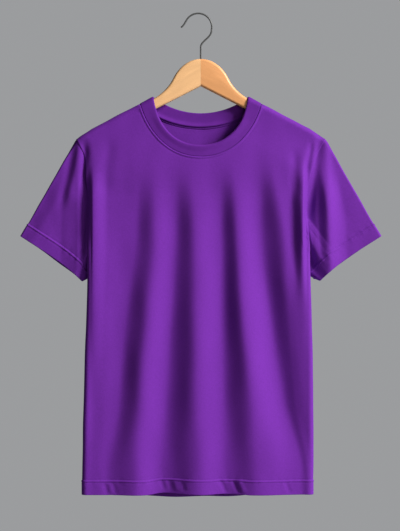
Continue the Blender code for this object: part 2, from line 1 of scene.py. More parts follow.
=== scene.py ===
"""Looks of a purple cotton t-shirt that hangs on a wooden clothes hanger.

Units are metres and +Z is up. The shirt faces -Y, so the wearer's left is at +X, and the origin is the
inside of the hook's crown. Every cloth piece is a thin sheet on the form of its solid, worked out
from the same cut: its folds, creases, seams and hems are added along the way the cloth faces.
"""

import math
from collections import namedtuple

import bmesh
import bpy
import numpy as np
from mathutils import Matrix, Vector
from mathutils.kdtree import KDTree


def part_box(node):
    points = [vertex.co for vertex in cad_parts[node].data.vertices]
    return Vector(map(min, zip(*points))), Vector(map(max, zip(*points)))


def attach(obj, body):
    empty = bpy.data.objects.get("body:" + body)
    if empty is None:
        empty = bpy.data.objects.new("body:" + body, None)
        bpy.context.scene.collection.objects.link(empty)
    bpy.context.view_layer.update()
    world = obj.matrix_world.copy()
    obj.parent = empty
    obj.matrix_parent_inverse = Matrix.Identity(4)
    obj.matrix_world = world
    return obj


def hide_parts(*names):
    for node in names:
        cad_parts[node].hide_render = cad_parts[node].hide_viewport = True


bl_info = {
    "name": "T-shirt on a hanger",
    "version": (1, 0, 0),
    "blender": (4, 5, 0),
    "location": "3D View > Sidebar > T-shirt",
    "description": "Makes the cloth, the stitches, the wooden hanger and its hook round the packed model",
    "category": "Object",
}

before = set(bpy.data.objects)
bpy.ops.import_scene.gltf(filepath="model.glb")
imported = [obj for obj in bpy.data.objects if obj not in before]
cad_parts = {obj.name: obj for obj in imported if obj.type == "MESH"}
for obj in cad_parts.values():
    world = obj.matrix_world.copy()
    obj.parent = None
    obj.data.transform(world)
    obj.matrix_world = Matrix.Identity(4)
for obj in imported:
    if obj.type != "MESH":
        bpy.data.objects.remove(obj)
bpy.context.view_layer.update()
BODY = "root"
MILLIMETRE = 0.001

# ---- The cut, as it hangs (x to the wearer's left, z up) -------------------------------------------
NECK_CORNER = (0.1100, -0.16255)
RIB_CORNER = (0.0860, -0.1500)
HANGER_TIP = (0.1980, -0.2086)
SHOULDER_POINT = (0.2265, -0.2275)
SLEEVE_POINT = (0.3270, -0.4030)
SLEEVE_UNDER = (0.2160, -0.4840)
SLEEVE_INNER = (0.2050, -0.4800)
SLEEVE_HEM = (SLEEVE_POINT, (0.2830, -0.4310), (0.2430, -0.4550), SLEEVE_UNDER)
FRONT_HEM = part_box("front")[0].z
BACK_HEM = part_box("back")[0].z
FRONT_SEAM = (NECK_CORNER, (0.0990, -0.2050), (0.0640, -0.2594), (0.0, -0.2594))
FRONT_FREE = (RIB_CORNER, (0.0800, -0.1950), (0.0540, -0.2385), (0.0, -0.2385))
BACK_SEAM = (NECK_CORNER, (0.0980, -0.1800), (0.0550, -0.2050), (0.0, -0.2050))
BACK_FREE = (RIB_CORNER, (0.0760, -0.1580), (0.0450, -0.1790), (0.0, -0.1790))
ARMHOLE_CHEST = (SHOULDER_POINT, (0.1970, -0.2750), (0.1900, -0.3300), (0.1915, -0.3700))
ARMHOLE_UNDER = ((0.1915, -0.3700), (0.1930, -0.4200), (0.2030, -0.4530), (0.2320, -0.4620))

# ---- How far the cloth stands off the plane of the hanger ------------------------------------------
RIDGE_RADIUS = 0.0090  # the roll over the hanger
BODY_DEPTH = 0.0240
BODY_RISE = 0.1300  # below the shoulder, where the body is at its depth
CHEST_TOP = -0.1850
CHEST_FULL = 0.1650  # below the chest's top
CHEST_SHARE = 0.78  # of the depth, which the chest takes on with height, not with distance
SHOULDER_BAND = 0.0800
SLEEVE_BAND = 0.0290
SLEEVE_RISE = 0.0450
SLEEVE_DEPTH = 0.0095
SLEEVE_RIDGE = 0.0032  # the roll along the sleeve's top fold
RIDGE_NARROWS = 0.2050
RIDGE_FADES = 0.0400
SLEEVE_START = 0.2050
SLEEVE_SPAN = 0.0500
PULL = 0.0110  # how far the right armhole hangs out
PULL_PLACE = 0.1920
PULL_WIDTH = 0.0400
PULL_FROM = -0.2450
PULL_TO = -0.4600
PULL_GROWS = 0.0600
WRAP_TOP = -0.3400  # the turned side edge forms between these heights
WRAP_FULL = -0.4350
FOLDS_START = -0.2300
FOLDS_FULL = -0.3300
# Below the armhole: half widths of the outline, radius of its edge, half the flat width of the cloth.
OUTLINE_HEIGHTS = (-0.462, -0.64, -0.80, -0.88)
OUTLINE_LEFT = (0.1985, 0.2030, 0.2042, 0.2036)
OUTLINE_RIGHT = (0.2050, 0.2104, 0.2138, 0.2146)
EDGE_RADIUS = (0.0070, 0.0075, 0.0080, 0.0085)
FLAT_HALF = (0.2320, 0.2580, 0.2620, 0.2620)

# ---- Folds, in millimetres: where each line runs at these heights, and how far it stands out -------
FOLD_HEIGHTS = (-0.27, -0.40, -0.54, -0.70, -0.84)
Fold = namedtuple("Fold", "line across out")
FRONT_FOLDS = (
    Fold("right sleeve flat", (-246, -250, -252, -252, -252), (0, -1, 0, 0, 0)),
    Fold("right sleeve crest", (-224, -224, -226, -226, -226), (-3, -8, -3, 0, 0)),
    Fold("right arm valley", (-210, -211, -212, -212, -212), (-12, -15, -4, 0, 0)),
    Fold("right edge crest", (-194, -194, -194, -194, -194), (3, 2, 1, -3, -1)),
    Fold("right edge foot", (-168, -168, -172, -176, -184), (-5, -6, -4, -4, -1)),
    Fold("first valley", (-114, -118, -136, -148, -168), (-4, -10, -10, -7, -2)),
    Fold("first crest", (-84, -84, -96, -109, -118), (-2, -2, 3, 6, 7)),
    Fold("second valley", (-44, -46, -52, -61, -70), (-4, -11, -11, -10, -6)),
    Fold("second crest", (-15, -11, -9, -8, -3), (-1, -1, 4, 8, 10)),
    Fold("third valley", (36, 38, 42, 43, 45), (-4, -12, -11, -6, -2)),
    Fold("third crest", (62, 66, 76, 90, 102), (-1, -2, 4, 9, 9)),
    Fold("fourth valley", (107, 110, 126, 150, 184), (-7, -15, -17, -13, -5)),
    Fold("fourth crest", (132, 149, 160, 172, 194), (-3, -4, -5, -7, -3)),
    Fold("fifth valley", (160, 168, 172, 184, 202), (-5, -7, -3, -4, -3)),
    Fold("left edge crest", (184, 184, 186, 195, 206), (3, 3, -2, -2, -2)),
    Fold("left arm valley", (195, 195, 202, 208, 212), (-12, -17, -4, 0, -1)),
    Fold("left sleeve foot", (210, 213, 222, 222, 222), (-10, -12, -4, 0, -1)),
    Fold("left sleeve crest", (224, 234, 240, 240, 240), (3, 3, 0, 0, 0)),
    Fold("left sleeve flat", (250, 268, 270, 270, 270), (-6, -6, -4, 0, 0)),
)
BACK_FOLDS = (
    Fold("right sleeve flat", (-262, -266, -266, -266, -266), (-5, -6, -4, 0, 0)),
    Fold("right sleeve crest", (-236, -240, -240, -240, -240), (-1, -1, 0, 0, 0)),
    Fold("right arm valley", (-206, -206, -206, -206, -206), (-8, -13, -3, 0, 0)),
    Fold("right edge crest", (-190, -190, -190, -192, -194), (0, 0, 0, 0, 0)),
    Fold("first valley", (-135, -142, -150, -152, -150), (-3, -9, -13, -11, -5)),
    Fold("first crest", (-98, -100, -104, -108, -110), (-1, -2, 1, 3, 5)),
    Fold("second valley", (-60, -58, -56, -50, -46), (-3, -9, -11, -9, -3)),
    Fold("second crest", (-20, -12, -4, 4, 10), (-1, -2, 3, 6, 8)),
    Fold("third valley", (30, 40, 50, 56, 58), (-3, -11, -13, -10, -3)),
    Fold("third crest", (74, 86, 96, 104, 108), (-1, -1, 3, 5, 6)),
    Fold("fourth valley", (122, 132, 142, 150, 156), (-4, -10, -12, -9, -4)),
    Fold("left edge crest", (192, 192, 190, 188, 190), (0, 0, 0, 0, 0)),
    Fold("left arm valley", (208, 210, 210, 210, 210), (-8, -14, -3, 0, 0)),
    Fold("left sleeve crest", (234, 238, 238, 238, 238), (0, -1, -1, 0, 0)),
    Fold("left sleeve flat", (256, 264, 264, 264, 264), (-6, -7, -4, 0, 0)),
)

# ---- Creases, in millimetres: from start to end (x, z), bowed aside, with a half width and a height --
Crease = namedtuple("Crease", "start end bow width out")
FRONT_CREASES = (
    Crease((-174, -847), (-168, -871), 0, 3, -1.1),
    Crease((-166, -847), (-160, -871), 0, 3, 0.9),
    Crease((-158, -847), (-152, -871), 0, 3, -0.7),
    Crease((-74, -844), (-66, -868), 1, 3, -1.2),
    Crease((-60, -844), (-52, -868), 1, 3, -1.0),
    Crease((-48, -844), (-42, -868), 0, 3, 1.2),
    Crease((-36, -844), (-28, -868), 0, 3, -1.2),
    Crease((34, -844), (46, -871), 1, 3, -1.4),
    Crease((56, -842), (70, -871), 0, 3, -2.0),
    Crease((68, -842), (80, -871), 0, 4, 1.4),
    Crease((152, -844), (162, -871), 0, 3, -1.2),
    Crease((-222, -208), (-257, -364), 0, 8, -2.2),
    Crease((-213, -208), (-245, -364), 0, 8, 1.5),
    Crease((-212, -220), (-208, -330), 0, 8, -5.0),
    Crease((221, -200), (190, -400), 0, 8, -4.4),
    Crease((226, -205), (234, -400), 0, 7, 2.0),
    Crease((170, -238), (172, -340), 0, 9, -2.2),
    Crease((-167, -215), (-166, -340), 0, 12, -1.9),
    Crease((203, -226), (190, -300), 0, 5, -3.0),
)
BACK_CREASES = (
    Crease((-150, -250), (-185, -330), 4, 9, -1.6),
    Crease((150, -250), (188, -332), -4, 9, -1.6),
    Crease((-40, -236), (-70, -330), 3, 9, -0.8),
    Crease((52, -238), (80, -320), 2, 9, -0.7),
    Crease((-120, -842), (-106, -874), 0, 4, -1.2),
    Crease((-96, -844), (-88, -874), 0, 4, 0.9),
    Crease((20, -842), (34, -874), 0, 4, -1.1),
    Crease((98, -842), (110, -874), 0, 4, -1.3),
    Crease((112, -842), (124, -874), 0, 4, 0.8),
    Crease((246, -270), (258, -362), 3, 7, -1.6),
    Crease((-244, -268), (-258, -372), -3, 7, -1.8),
    Crease((-270, -330), (-282, -396), -2, 6, 0.9),
)
# How much higher the hem hangs at these places across, in millimetres.
FRONT_HEM_LIFT = (
    (-215, 0.0), (-100, 0.0), (-67, 3.6), (-50, 3.4), (-28, 2.2),
    (10, 1.3), (37, 2.2), (70, 1.8), (90, 0.6), (215, 0.4),
)
BACK_HEM_LIFT = (
    (-215, 6.0), (-130, 5.0), (-96, 0.4), (-40, -1.2),
    (30, -0.8), (74, 1.0), (120, 5.0), (215, 6.0),
)
LIFT_FADES = 0.130  # above the hem

Side = namedtuple("Side", "name facing folds creases seam free hem hem_lift seed trims")
FRONT = Side(
    "front", -1.0, FRONT_FOLDS, FRONT_CREASES, FRONT_SEAM, FRONT_FREE, FRONT_HEM, FRONT_HEM_LIFT,
    seed=3, trims=(),
)
BACK = Side(
    "back", 1.0, BACK_FOLDS, BACK_CREASES, BACK_SEAM, BACK_FREE, BACK_HEM, BACK_HEM_LIFT,
    seed=5, trims=("neck_tape_strip", "neck_tape_stitches", "neck_stitches"),
)

# ---- Steps of the sheets ---------------------------------------------------------------------------
SHOULDER_STEPS = 36
NECK_STEPS = 56
NECK_CROWDING = 1.6
EDGE_CROWDING = 1.5
# Distances below the armhole, and above the hem's fold, at which every sheet has a row of points.
SEAM_ROWS = (0.0, 0.00015, 0.0005, 0.0011, 0.0019, 0.0028, 0.0038, 0.0048, 0.0060, 0.0076, 0.0100, 0.0130)
HEM_ROWS = (
    0.0340, 0.0310, 0.0290, 0.0280, 0.0271, 0.0265, 0.0259, 0.0250, 0.0240, 0.0230, 0.0220, 0.0214, 0.0208,
    0.0199, 0.0186, 0.0168, 0.0146, 0.0122, 0.0098, 0.0074, 0.0050, 0.0030, 0.0014, 0.0005, 0.0,
)
ARM_ROWS = 68
BODY_ROWS = 112
HEM_LAYERS = 9  # rows of the hem's inner layer
SIDE_EDGE_HEM = 0.1900
SIDE_PULL = 3.0  # how fast the armhole's shape fades into the panel
TREE_STEP = 0.00025
SLEEVE_STEPS = 40
SLEEVE_SEAM_ROWS = SEAM_ROWS[:9]
SLEEVE_EDGES = 0.92  # the rows beside a sleeve's seam and hem take at most this share of its length
# Low on the armhole the sleeve lifts off the body: how far, at these shares of the way to its hem.
SLEEVE_ROWS = (0.0, 0.07, 0.22, 0.40, 0.60, 0.80, 1.0)
SLEEVE_LIFTS = (0.0006, 0.0016, 0.0016, 0.0010, 0.0004, 0.0, 0.0)
LIFT_SHARES = (0.45, 0.70)
# Shares of the way down the armhole or along the hem, from the top fold to the underarm seam.
SLEEVE_FREE = 0.70  # above this the sleeve hangs in folds of its own
UNDER_SHARE = 0.95  # past this the hem turns in to the seam
HEM_CLOSES = 0.84
UNDER_DEPTH = 0.0080
BACK_DROPS = {-1.0: 0.0035, 1.0: 0.0012}  # how much lower the back of the right and left hems hangs
BACK_DROP_AT = 0.62
BACK_DROP_WIDTH = 0.30
SEAM_GAP = 0.0001

# ---- Faint ripples all over: the shortest and longest wave, and how much longer they run down ------
PANEL_WAVES = (0.030, 0.090, 2.2)
SLEEVE_WAVES = (0.030, 0.080, 1.6)
SLEEVE_SEEDS = {1.0: 7, -1.0: 9}
PUCKER_WAVES = (0.006, 0.016, 8.0)
PUCKER_SEED = 11
CREASE_FADE = 0.3  # share of a crease's length in which it fades at each end

# ---- Seams and hems --------------------------------------------------------------------------------
SEAM_DROP = 0.0006  # the cloth turns in at a seam
SEAM_ROLL = 0.00030
BODY_STEP = 0.0005  # at the armhole the body lies over the sleeve
SLEEVE_STEP = -0.0004
STEP_WIDTH = 0.0035
NECK_DROP = 0.0008
NECK_STITCH = 0.0045  # from the rib's seam to the row of stitches beside it
NECK_STITCH_FROM = 0.02
NECK_STITCH_STEPS = 160
NECK_PUFF = 0.0007  # the strip between the seam and its stitches, and how it rises and falls
PUFF_RISE = 0.0012
PUFF_FALL = 0.0016
STITCH_DENT = 0.0003
DENT_WIDTH = 0.0009
HEM_LOW_STITCH = 0.0214
HEM_HIGH_STITCH = 0.0265
HEM_RIDGE = 0.00055
RIDGE_WIDTH = 0.0017
HEM_DOUBLE = 0.00075  # the inner layer lifts the outer one, from just above the upper stitches
DOUBLE_ABOVE = 0.0012
DOUBLE_GROWS = 0.0040
HEM_FOLD = 0.00095  # radius of the turned hem
HEM_TURNS = (30.0, 60.0, 90.0, 120.0, 150.0)
HEM_INNER_SKIPS = 4  # the hem's inner layer ends this many rows short of the top of its rows
TWIN_PUCKER = 0.0002
PUCKER_WIDTH = 0.0080

# ---- Neck rib and tape -----------------------------------------------------------------------------
RIB_STEPS = 96
RIB_OUT = 0.0006
RIB_IN = -0.0014
# Shares of the band's width, from its free edge: where its faces start and end, and its rounded rims.
RIB_FACE = (0.06, 0.97)
RIB_FACE_STEPS = 18
RIB_FOLD = 0.055
RIB_FOLD_TURNS = (75.0, 7)  # how far the fold turns to each side, in degrees, and its points
RIB_RIM = 0.992
RIB_CROWN = 0.0004
RIB_BEAD = 0.0017  # the roll at the free edge
RIB_BEAD_AT = 0.11
RIB_BEAD_SLOPE = 0.55
RIB_BULGE = 0.0022  # the seam's allowance, which pads the rib inside
RIB_BULGE_AT = 0.93
RIB_BULGE_WIDTH = 0.16
RIB_TUCK = 0.80  # how far the beads flatten at the shoulders
RIB_TUCK_FROM = 0.0700
RIB_TUCK_SPAN = 0.0140
RIB_END = 0.0010  # the step that closes the band's section, on its cut
TAPE_WIDTH = 0.0030
TAPE_DROP = -0.0012
TAPE_FROM = 0.30
TAPE_STEPS = 60
TAPE_ROWS = 7
TAPE_WALL = 0.0007
TAPE_STITCH_ROWS = (1, 5)

# ---- Cloth finishes, in metres and as shares of the colour -----------------------------------------
WALE = 0.0009
COURSE = 0.0007
RIB_WALE = 0.0014
RIB_COURSE = 0.0008
LOOP_LEAN = 2.4
REVERSE_TONE_AND_PAINTED_LIGHT = 1.05  # how much lighter the jersey's inside is than its face: partly its paler loops, partly painted light that brightens the inside of the back seen through the neck
JERSEY_SHADER = {
    "Roughness": 0.85,
    "Specular IOR Level": 0.18,
    "Sheen Weight": 0.05,
    "Sheen Roughness": 0.45,
    "Sheen Tint": (0.80, 0.60, 0.95, 1.0),
}
RIB_SHADER = {
    "Roughness": 0.82,
    "Specular IOR Level": 0.15,
    "Sheen Weight": 0.02,
    "Sheen Roughness": 0.45,
    "Sheen Tint": (0.70, 0.45, 0.95, 1.0),
}

# ---- Hanger ----------------------------------------------------------------------------------------
WOOD_THICK = 0.0120
WOOD_EDGE = 0.0045
WOOD_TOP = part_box("hanger_left")[1].z
WOOD_NOTCH = -0.1310
WOOD_BELOW_RIDGE = 0.0042
WOOD_HEIGHT_IN = 0.0205
WOOD_HEIGHT_OUT = 0.0160
WOOD_END = 0.1830
WOOD_REACH = 0.1930
WOOD_BROW = ((0.0, WOOD_TOP), (0.0210, WOOD_TOP), (0.0400, -0.0960), (0.0500, -0.1165))
WOOD_HOLLOW = ((0.0500, -0.1165), (0.0570, -0.1310), (0.0680, -0.1431))
WOOD_STEPS = 14
WOOD_ROUNDING = 6
WOOD_SMOOTH = 35.0  # edges flatter than this many degrees look smooth
BORE_SIDES = 24
GLUE_GAP = 0.0001
WIRE_RADIUS = 0.00155
HOOK_RADIUS = 0.0246
HOOK_CENTRE = (-0.0045, WIRE_RADIUS - HOOK_RADIUS)
HOOK_FROM = -12.0
HOOK_TO = 148.0
HOOK_STEM_TOP = -0.0700
HOOK_BEND = ((0.0, -0.0600), (0.0, -0.0480), (0.0205, -0.0430))
HOOK_LEAD = 0.0070
HOOK_TIP = ((-0.0308, -0.0206), (-0.0362, -0.0242))
HOOK_SHANK = 0.0240
HOOK_CLEARANCE = 0.0003
HOOK_SMOOTH = 50.0
HOOK_STEPS = {"arc": 61, "bend": 25, "tip": 17}
HOOK_TIP_TURNS = (20.0, 40.0, 60.0, 75.0, 88.0)

# ---- Stage -----------------------------------------------------------------------------------------
CAMERA_PLACE = (-0.0014, -3.0, -0.4567)
CAMERA_LENS = 111.9
SENSOR = 36.0
FLOOR_LEVEL = -1.90
FLOOR_RADIUS = 2.4
AIM = (0.0, 0.0, -0.50)
Lamp = namedtuple("Lamp", "name azimuth elevation distance size glints")
LAMPS = (
    Lamp("key", 61.0, 31.0, 7.0, 2.2, True),
    Lamp("fill", 25.0, 12.0, 3.0, 2.0, True),
    Lamp("back", 150.0, 15.0, 3.5, 2.2, False),
)


# ---- Settings a user would change ------------------------------------------------------------------
def length_field(name, description, default):
    """A length that a user may change."""
    return bpy.props.FloatProperty(name=name, description=description, default=default, unit="LENGTH")


def color_field(name, description, default):
    """A colour that a user may change."""
    return bpy.props.FloatVectorProperty(name=name, description=description, default=default, subtype="COLOR")


def light_field(name, description, default):
    """The strength of a light that a user may change."""
    return bpy.props.FloatProperty(name=name, description=description, default=default, min=0.0)


class ClothSettings(bpy.types.PropertyGroup):
    wall: length_field("Jersey thickness", "Thickness of one layer of jersey", 0.0009)
    wrinkle: length_field("Wrinkling", "Height of the faint ripples all over", 0.0003)
    jersey: color_field("Jersey", "Colour of the body and sleeves", (0.158, 0.021, 0.335))
    rib: color_field("Rib", "Colour of the neck rib", (0.134, 0.017, 0.284))
    thread: color_field("Thread", "Colour of the stitches", (0.175, 0.027, 0.365))


class StitchSettings(bpy.types.PropertyGroup):
    pitch: length_field("Stitch pitch", "From one stitch to the next", 0.0030)
    length: length_field("Stitch length", "Length of thread that shows", 0.0025)
    radius: length_field("Thread radius", "Half the thread's thickness", 0.00026)


class HangerSettings(bpy.types.PropertyGroup):
    left_wood: color_field("Left wood", "Colour of the wearer's left arm", (0.90, 0.41, 0.155))
    right_wood: color_field("Right wood", "Colour of the wearer's right arm", (1.0, 0.57, 0.26))
    steel: color_field("Steel", "Colour of the hook", (0.115, 0.115, 0.112))


class StageSettings(bpy.types.PropertyGroup):
    backdrop: color_field("Backdrop", "Colour behind the shirt", (0.328, 0.334, 0.343))
    floor: color_field("Floor", "Colour of the floor", (0.40, 0.41, 0.42))
    key: light_field("Key light", "Power of the large light at the right", 805.0)
    fill: light_field("Fill light", "Power of the soft light in front", 11.0)
    back: light_field("Back light", "Power of the soft light behind", 95.0)
    ambient: light_field("Ambient", "Share of the backdrop's colour that lights the shirt", 0.10)


# ---- Curves and tables -----------------------------------------------------------------------------
def smooth(value):
    """0 to 1 with a soft start and end."""
    held = np.clip(value, 0.0, 1.0)
    return held * held * (3.0 - 2.0 * held)


def bell(distance, width):
    """1 at no distance, fading over the width."""
    return np.exp(-((distance / width) ** 2))


def bezier(curve, share):
    """Points of a cubic curve, given as its start, two controls and end."""
    ends = [np.array(point) for point in curve]
    t = np.asarray(share, dtype=float)[:, None]
    near = (1 - t) ** 3 * ends[0] + 3 * (1 - t) ** 2 * t * ends[1]
    return near + 3 * (1 - t) * t**2 * ends[2] + t**3 * ends[3]


def unit(vectors):
    """The same directions, each of length 1."""
    return vectors / np.linalg.norm(vectors, axis=-1)[..., None]


def lengths_to(line):
    """Length along a line of points, up to each of them."""
    return np.concatenate([[0.0], np.cumsum(np.linalg.norm(np.diff(line, axis=0), axis=1))])


def read_line(line, lengths, where):
    """Points of a line at these lengths along it."""
    return np.stack([np.interp(where, lengths, column) for column in line.T], axis=-1)


def slopes(places, values):
    """Slopes of a curve through the values that never overshoots them."""
    step = np.diff(places, axis=0)
    grade = np.diff(values, axis=0) / step
    inner = grade[:-1] * grade[1:]
    mean = 2.0 * inner / np.where(inner > 0, grade[:-1] + grade[1:], 1.0)
    flat = np.zeros_like(grade[:1])
    return np.concatenate([flat, np.where(inner > 0, mean, 0.0), flat])


def swing(places, values, where):
    """Read that curve at one place per column. Outside its ends it stays level."""
    where = np.clip(where, places[0], places[-1])
    grades = slopes(places, values)
    index = np.clip((places <= where).sum(axis=0) - 1, 0, len(places) - 2)
    column = np.arange(len(where))
    low, high = places[index, column], places[index + 1, column]
    width = high - low
    t = (where - low) / width
    start, end = values[index, column], values[index + 1, column]
    rise = grades[index, column] * width
    fall = grades[index + 1, column] * width
    blend = t * t * (3 - 2 * t)
    return start + (end - start) * blend + rise * t * (1 - t) ** 2 - fall * t * t * (1 - t)


def read_table(places, values, where):
    """Read one row of a table at many places. The places rise."""
    count = len(where)
    stations = np.repeat(np.array(places, dtype=float)[:, None], count, axis=1)
    table = np.repeat(np.array(values, dtype=float)[:, None], count, axis=1)
    return swing(stations, table, np.asarray(where, dtype=float))


def along(stations, values, where):
    """Read one row of a table, given at falling heights, at many heights."""
    return read_table([-station for station in stations], values, -np.asarray(where))


def ripple(seed, across, height, low, high, stretch, count=26):
    """Faint uneven waves, from -1 to 1 or so, longer down the cloth than across it."""
    pick = np.random.default_rng(seed)
    total = np.zeros_like(across)
    for _ in range(count):
        turn = pick.uniform(0.0, 2.0 * math.pi)
        wave = 2.0 * math.pi / pick.uniform(low, high)
        phase = pick.uniform(0.0, 2.0 * math.pi)
        total += np.sin(wave * (across * math.cos(turn) + height * math.sin(turn) / stretch) + phase)
    return total / math.sqrt(count)


def crease_relief(creases, across, height):
    """How far the creases push the cloth out."""
    total = np.zeros_like(across)
    for crease in creases:
        start = MILLIMETRE * np.array(crease.start)
        run = MILLIMETRE * np.array(crease.end) - start
        length = math.hypot(*run)
        east, up = across - start[0], height - start[1]
        share = np.clip((east * run[0] + up * run[1]) / length**2, 0.0, 1.0)
        bow = MILLIMETRE * crease.bow * 4.0 * share * (1.0 - share)
        aside = (up * run[0] - east * run[1]) / length - bow
        fades = smooth(share / CREASE_FADE) * smooth((1.0 - share) / CREASE_FADE)
        total += MILLIMETRE * crease.out * bell(aside, MILLIMETRE * crease.width) * fades
    return total


# ---- The form of the cloth -------------------------------------------------------------------------
def fold_relief(folds, across, height):
    """How far the folds push the cloth out."""
    places = MILLIMETRE * np.array([along(FOLD_HEIGHTS, fold.across, height) for fold in folds])
    values = MILLIMETRE * np.array([along(FOLD_HEIGHTS, fold.out, height) for fold in folds])
    grown = smooth((FOLDS_START - height) / (FOLDS_START - FOLDS_FULL))
    return swing(places, values, across) * grown


def below_ridge(across, height):
    """Distance of a point below the line of the shoulder and the top of the sleeve."""
    corners = (RIB_CORNER, HANGER_TIP, SHOULDER_POINT, SLEEVE_POINT)
    distances = []
    for (x0, z0), (x1, z1) in zip(corners, corners[1:]):
        length = math.hypot(x1 - x0, z1 - z0)
        distances.append(((z0 - height) * (x1 - x0) - (x0 - np.abs(across)) * (z1 - z0)) / length)
    return np.maximum(np.min(distances, axis=0), 0.0)


def stand_off(side, across, height):
    """Distance of the front or back cloth from the plane of the hanger."""
    drop = below_ridge(across, height)
    narrowed = smooth((np.abs(across) - RIDGE_NARROWS) / RIDGE_FADES)
    radius = RIDGE_RADIUS + (SLEEVE_RIDGE - RIDGE_RADIUS) * narrowed
    roll = np.minimum(drop, radius)
    rounded = np.sqrt(radius**2 - (radius - roll) ** 2)
    outside = smooth((np.abs(across) - SLEEVE_START) / SLEEVE_SPAN)
    depth = BODY_DEPTH + (SLEEVE_DEPTH - BODY_DEPTH) * outside
    rise = BODY_RISE + (SLEEVE_RISE - BODY_RISE) * outside
    band = SHOULDER_BAND + (SLEEVE_BAND - SHOULDER_BAND) * outside
    level = smooth((CHEST_TOP - height) / CHEST_FULL) * smooth(drop / band)
    grown = (1.0 - CHEST_SHARE) * smooth(drop / rise) + CHEST_SHARE * level
    return rounded + (depth - radius) * grown + fold_relief(side.folds, across, height) * grown


def turned_edge(side, spread, height, half_width):
    """x and stand-off of cloth that turns round the side edge and runs in to the side seam."""
    radius = along(OUTLINE_HEIGHTS, EDGE_RADIUS, height)
    start = half_width - radius
    out = stand_off(side, np.sign(spread) * start, height)
    groove = out - 2 * radius
    flat_half = along(OUTLINE_HEIGHTS, FLAT_HALF, height)
    run = np.maximum(flat_half - start - math.pi * radius - groove * math.pi / 2, 0.0)
    past = np.abs(spread) - start
    turn = np.clip(past / radius, 0.0, math.pi)
    inward = np.clip(past - math.pi * radius, 0.0, run)
    close = np.clip((past - math.pi * radius - run) / groove, 0.0, math.pi / 2)
    x = start + radius * np.sin(turn) - inward - groove * np.sin(close)
    y = out - radius * (1 - np.cos(turn)) - groove * (1 - np.cos(close))
    return x, y


def pulled_out(spread, height):
    """On the wearer's right the armhole hangs a little further out, in the sleeve's deep fold."""
    near = bell(spread + PULL_PLACE, PULL_WIDTH)
    level = smooth((PULL_FROM - height) / PULL_GROWS) * smooth((height - PULL_TO) / PULL_GROWS)
    return spread - PULL * near * level


def body_point(side, spread, height):
    """Where a point of the front or back panel hangs, from its flat distance and its height."""
    spread = pulled_out(spread, height)
    left = along(OUTLINE_HEIGHTS, OUTLINE_LEFT, height)
    right = along(OUTLINE_HEIGHTS, OUTLINE_RIGHT, height)
    half_width = np.where(spread > 0, left, right)
    start = half_width - along(OUTLINE_HEIGHTS, EDGE_RADIUS, height)
    open_out = stand_off(side, spread, height)
    edge_x, edge_out = turned_edge(side, spread, height, half_width)
    wrapped = smooth((WRAP_TOP - height) / (WRAP_TOP - WRAP_FULL)) * (np.abs(spread) > start)
    x = np.abs(spread) * (1 - wrapped) + edge_x * wrapped
    out = open_out * (1 - wrapped) + edge_out * wrapped
    return np.stack([np.sign(spread) * x, side.facing * out, height], axis=-1)


def faces_out(side, spread, height, step=0.0005):
    """Direction in which the outer face of a panel looks."""
    across = body_point(side, spread + step, height) - body_point(side, spread - step, height)
    down = body_point(side, spread, height - step) - body_point(side, spread, height + step)
    return unit(side.facing * np.cross(across, down))


def armhole_path():
    """Closely spaced points down the armhole, and the length from the shoulder to each."""
    fine = np.linspace(0.0, 1.0, 200)
    path = np.concatenate([bezier(ARMHOLE_CHEST, fine), bezier(ARMHOLE_UNDER, fine)[1:]])
    return path, lengths_to(path)


def armhole_shares():
    """Shares of the armhole's length at which both the panels and the sleeve have a point."""
    near = np.array(SEAM_ROWS) / armhole_path()[1][-1]
    rest = np.linspace(near[-1], 1.0, ARM_ROWS + 1)[1:]
    return np.concatenate([near, rest])


def armhole(shares):
    """Flat distance and height of points on the armhole, evenly along its length."""
    path, lengths = armhole_path()
    return read_line(path, lengths, np.asarray(shares) * lengths[-1])


def neck_shares(steps):
    """Shares of a quarter of the neck, crowded towards the shoulder."""
    return (np.arange(steps + 1) / steps) ** NECK_CROWDING


# ---- Seams and relief ------------------------------------------------------------------------------
def line_tree(points):
    """A search tree over a line of points, filled in."""
    lengths = lengths_to(points)
    fine = read_line(points, lengths, np.arange(0.0, lengths[-1], TREE_STEP))
    tree = KDTree(len(fine))
    for index, point in enumerate(fine):
        tree.insert(point, index)
    tree.balance()
    return tree


def distance_to(tree, points):
    """Distance of each point to the nearest place on the tree's line."""
    return np.array([tree.find(point)[2] for point in points])


def seam_relief(distance, step):
    """The cloth rolls in at a seam, and lies a little over or under its neighbour."""
    drop = SEAM_DROP if step >= 0.0 else 0.0
    return step * bell(distance, STEP_WIDTH) - drop * np.exp(-distance / SEAM_ROLL)


def neck_relief(distance):
    """Beside the rib: the seam, the puffed strip and the dented row of stitches."""
    puff = NECK_PUFF * smooth(distance / PUFF_RISE) * smooth((NECK_STITCH - distance) / PUFF_FALL)
    dent = STITCH_DENT * bell(distance - NECK_STITCH, DENT_WIDTH)
    return puff - dent - NECK_DROP * np.exp(-distance / SEAM_ROLL)


def hem_relief(distance, place):
    """The turned hem: a double layer, a ridge between two dented rows of stitches, and fine puckers."""
    middle = (HEM_LOW_STITCH + HEM_HIGH_STITCH) / 2
    dents = bell(distance - HEM_LOW_STITCH, DENT_WIDTH) + bell(distance - HEM_HIGH_STITCH, DENT_WIDTH)
    ridge = HEM_RIDGE * bell(distance - middle, RIDGE_WIDTH)
    double = HEM_DOUBLE * smooth((HEM_HIGH_STITCH + DOUBLE_ABOVE - distance) / DOUBLE_GROWS)
    uneven = TWIN_PUCKER * ripple(PUCKER_SEED, place, distance, *PUCKER_WAVES)
    pucker = uneven * bell(distance - middle, PUCKER_WIDTH)
    return ridge + double + pucker - STITCH_DENT * dents


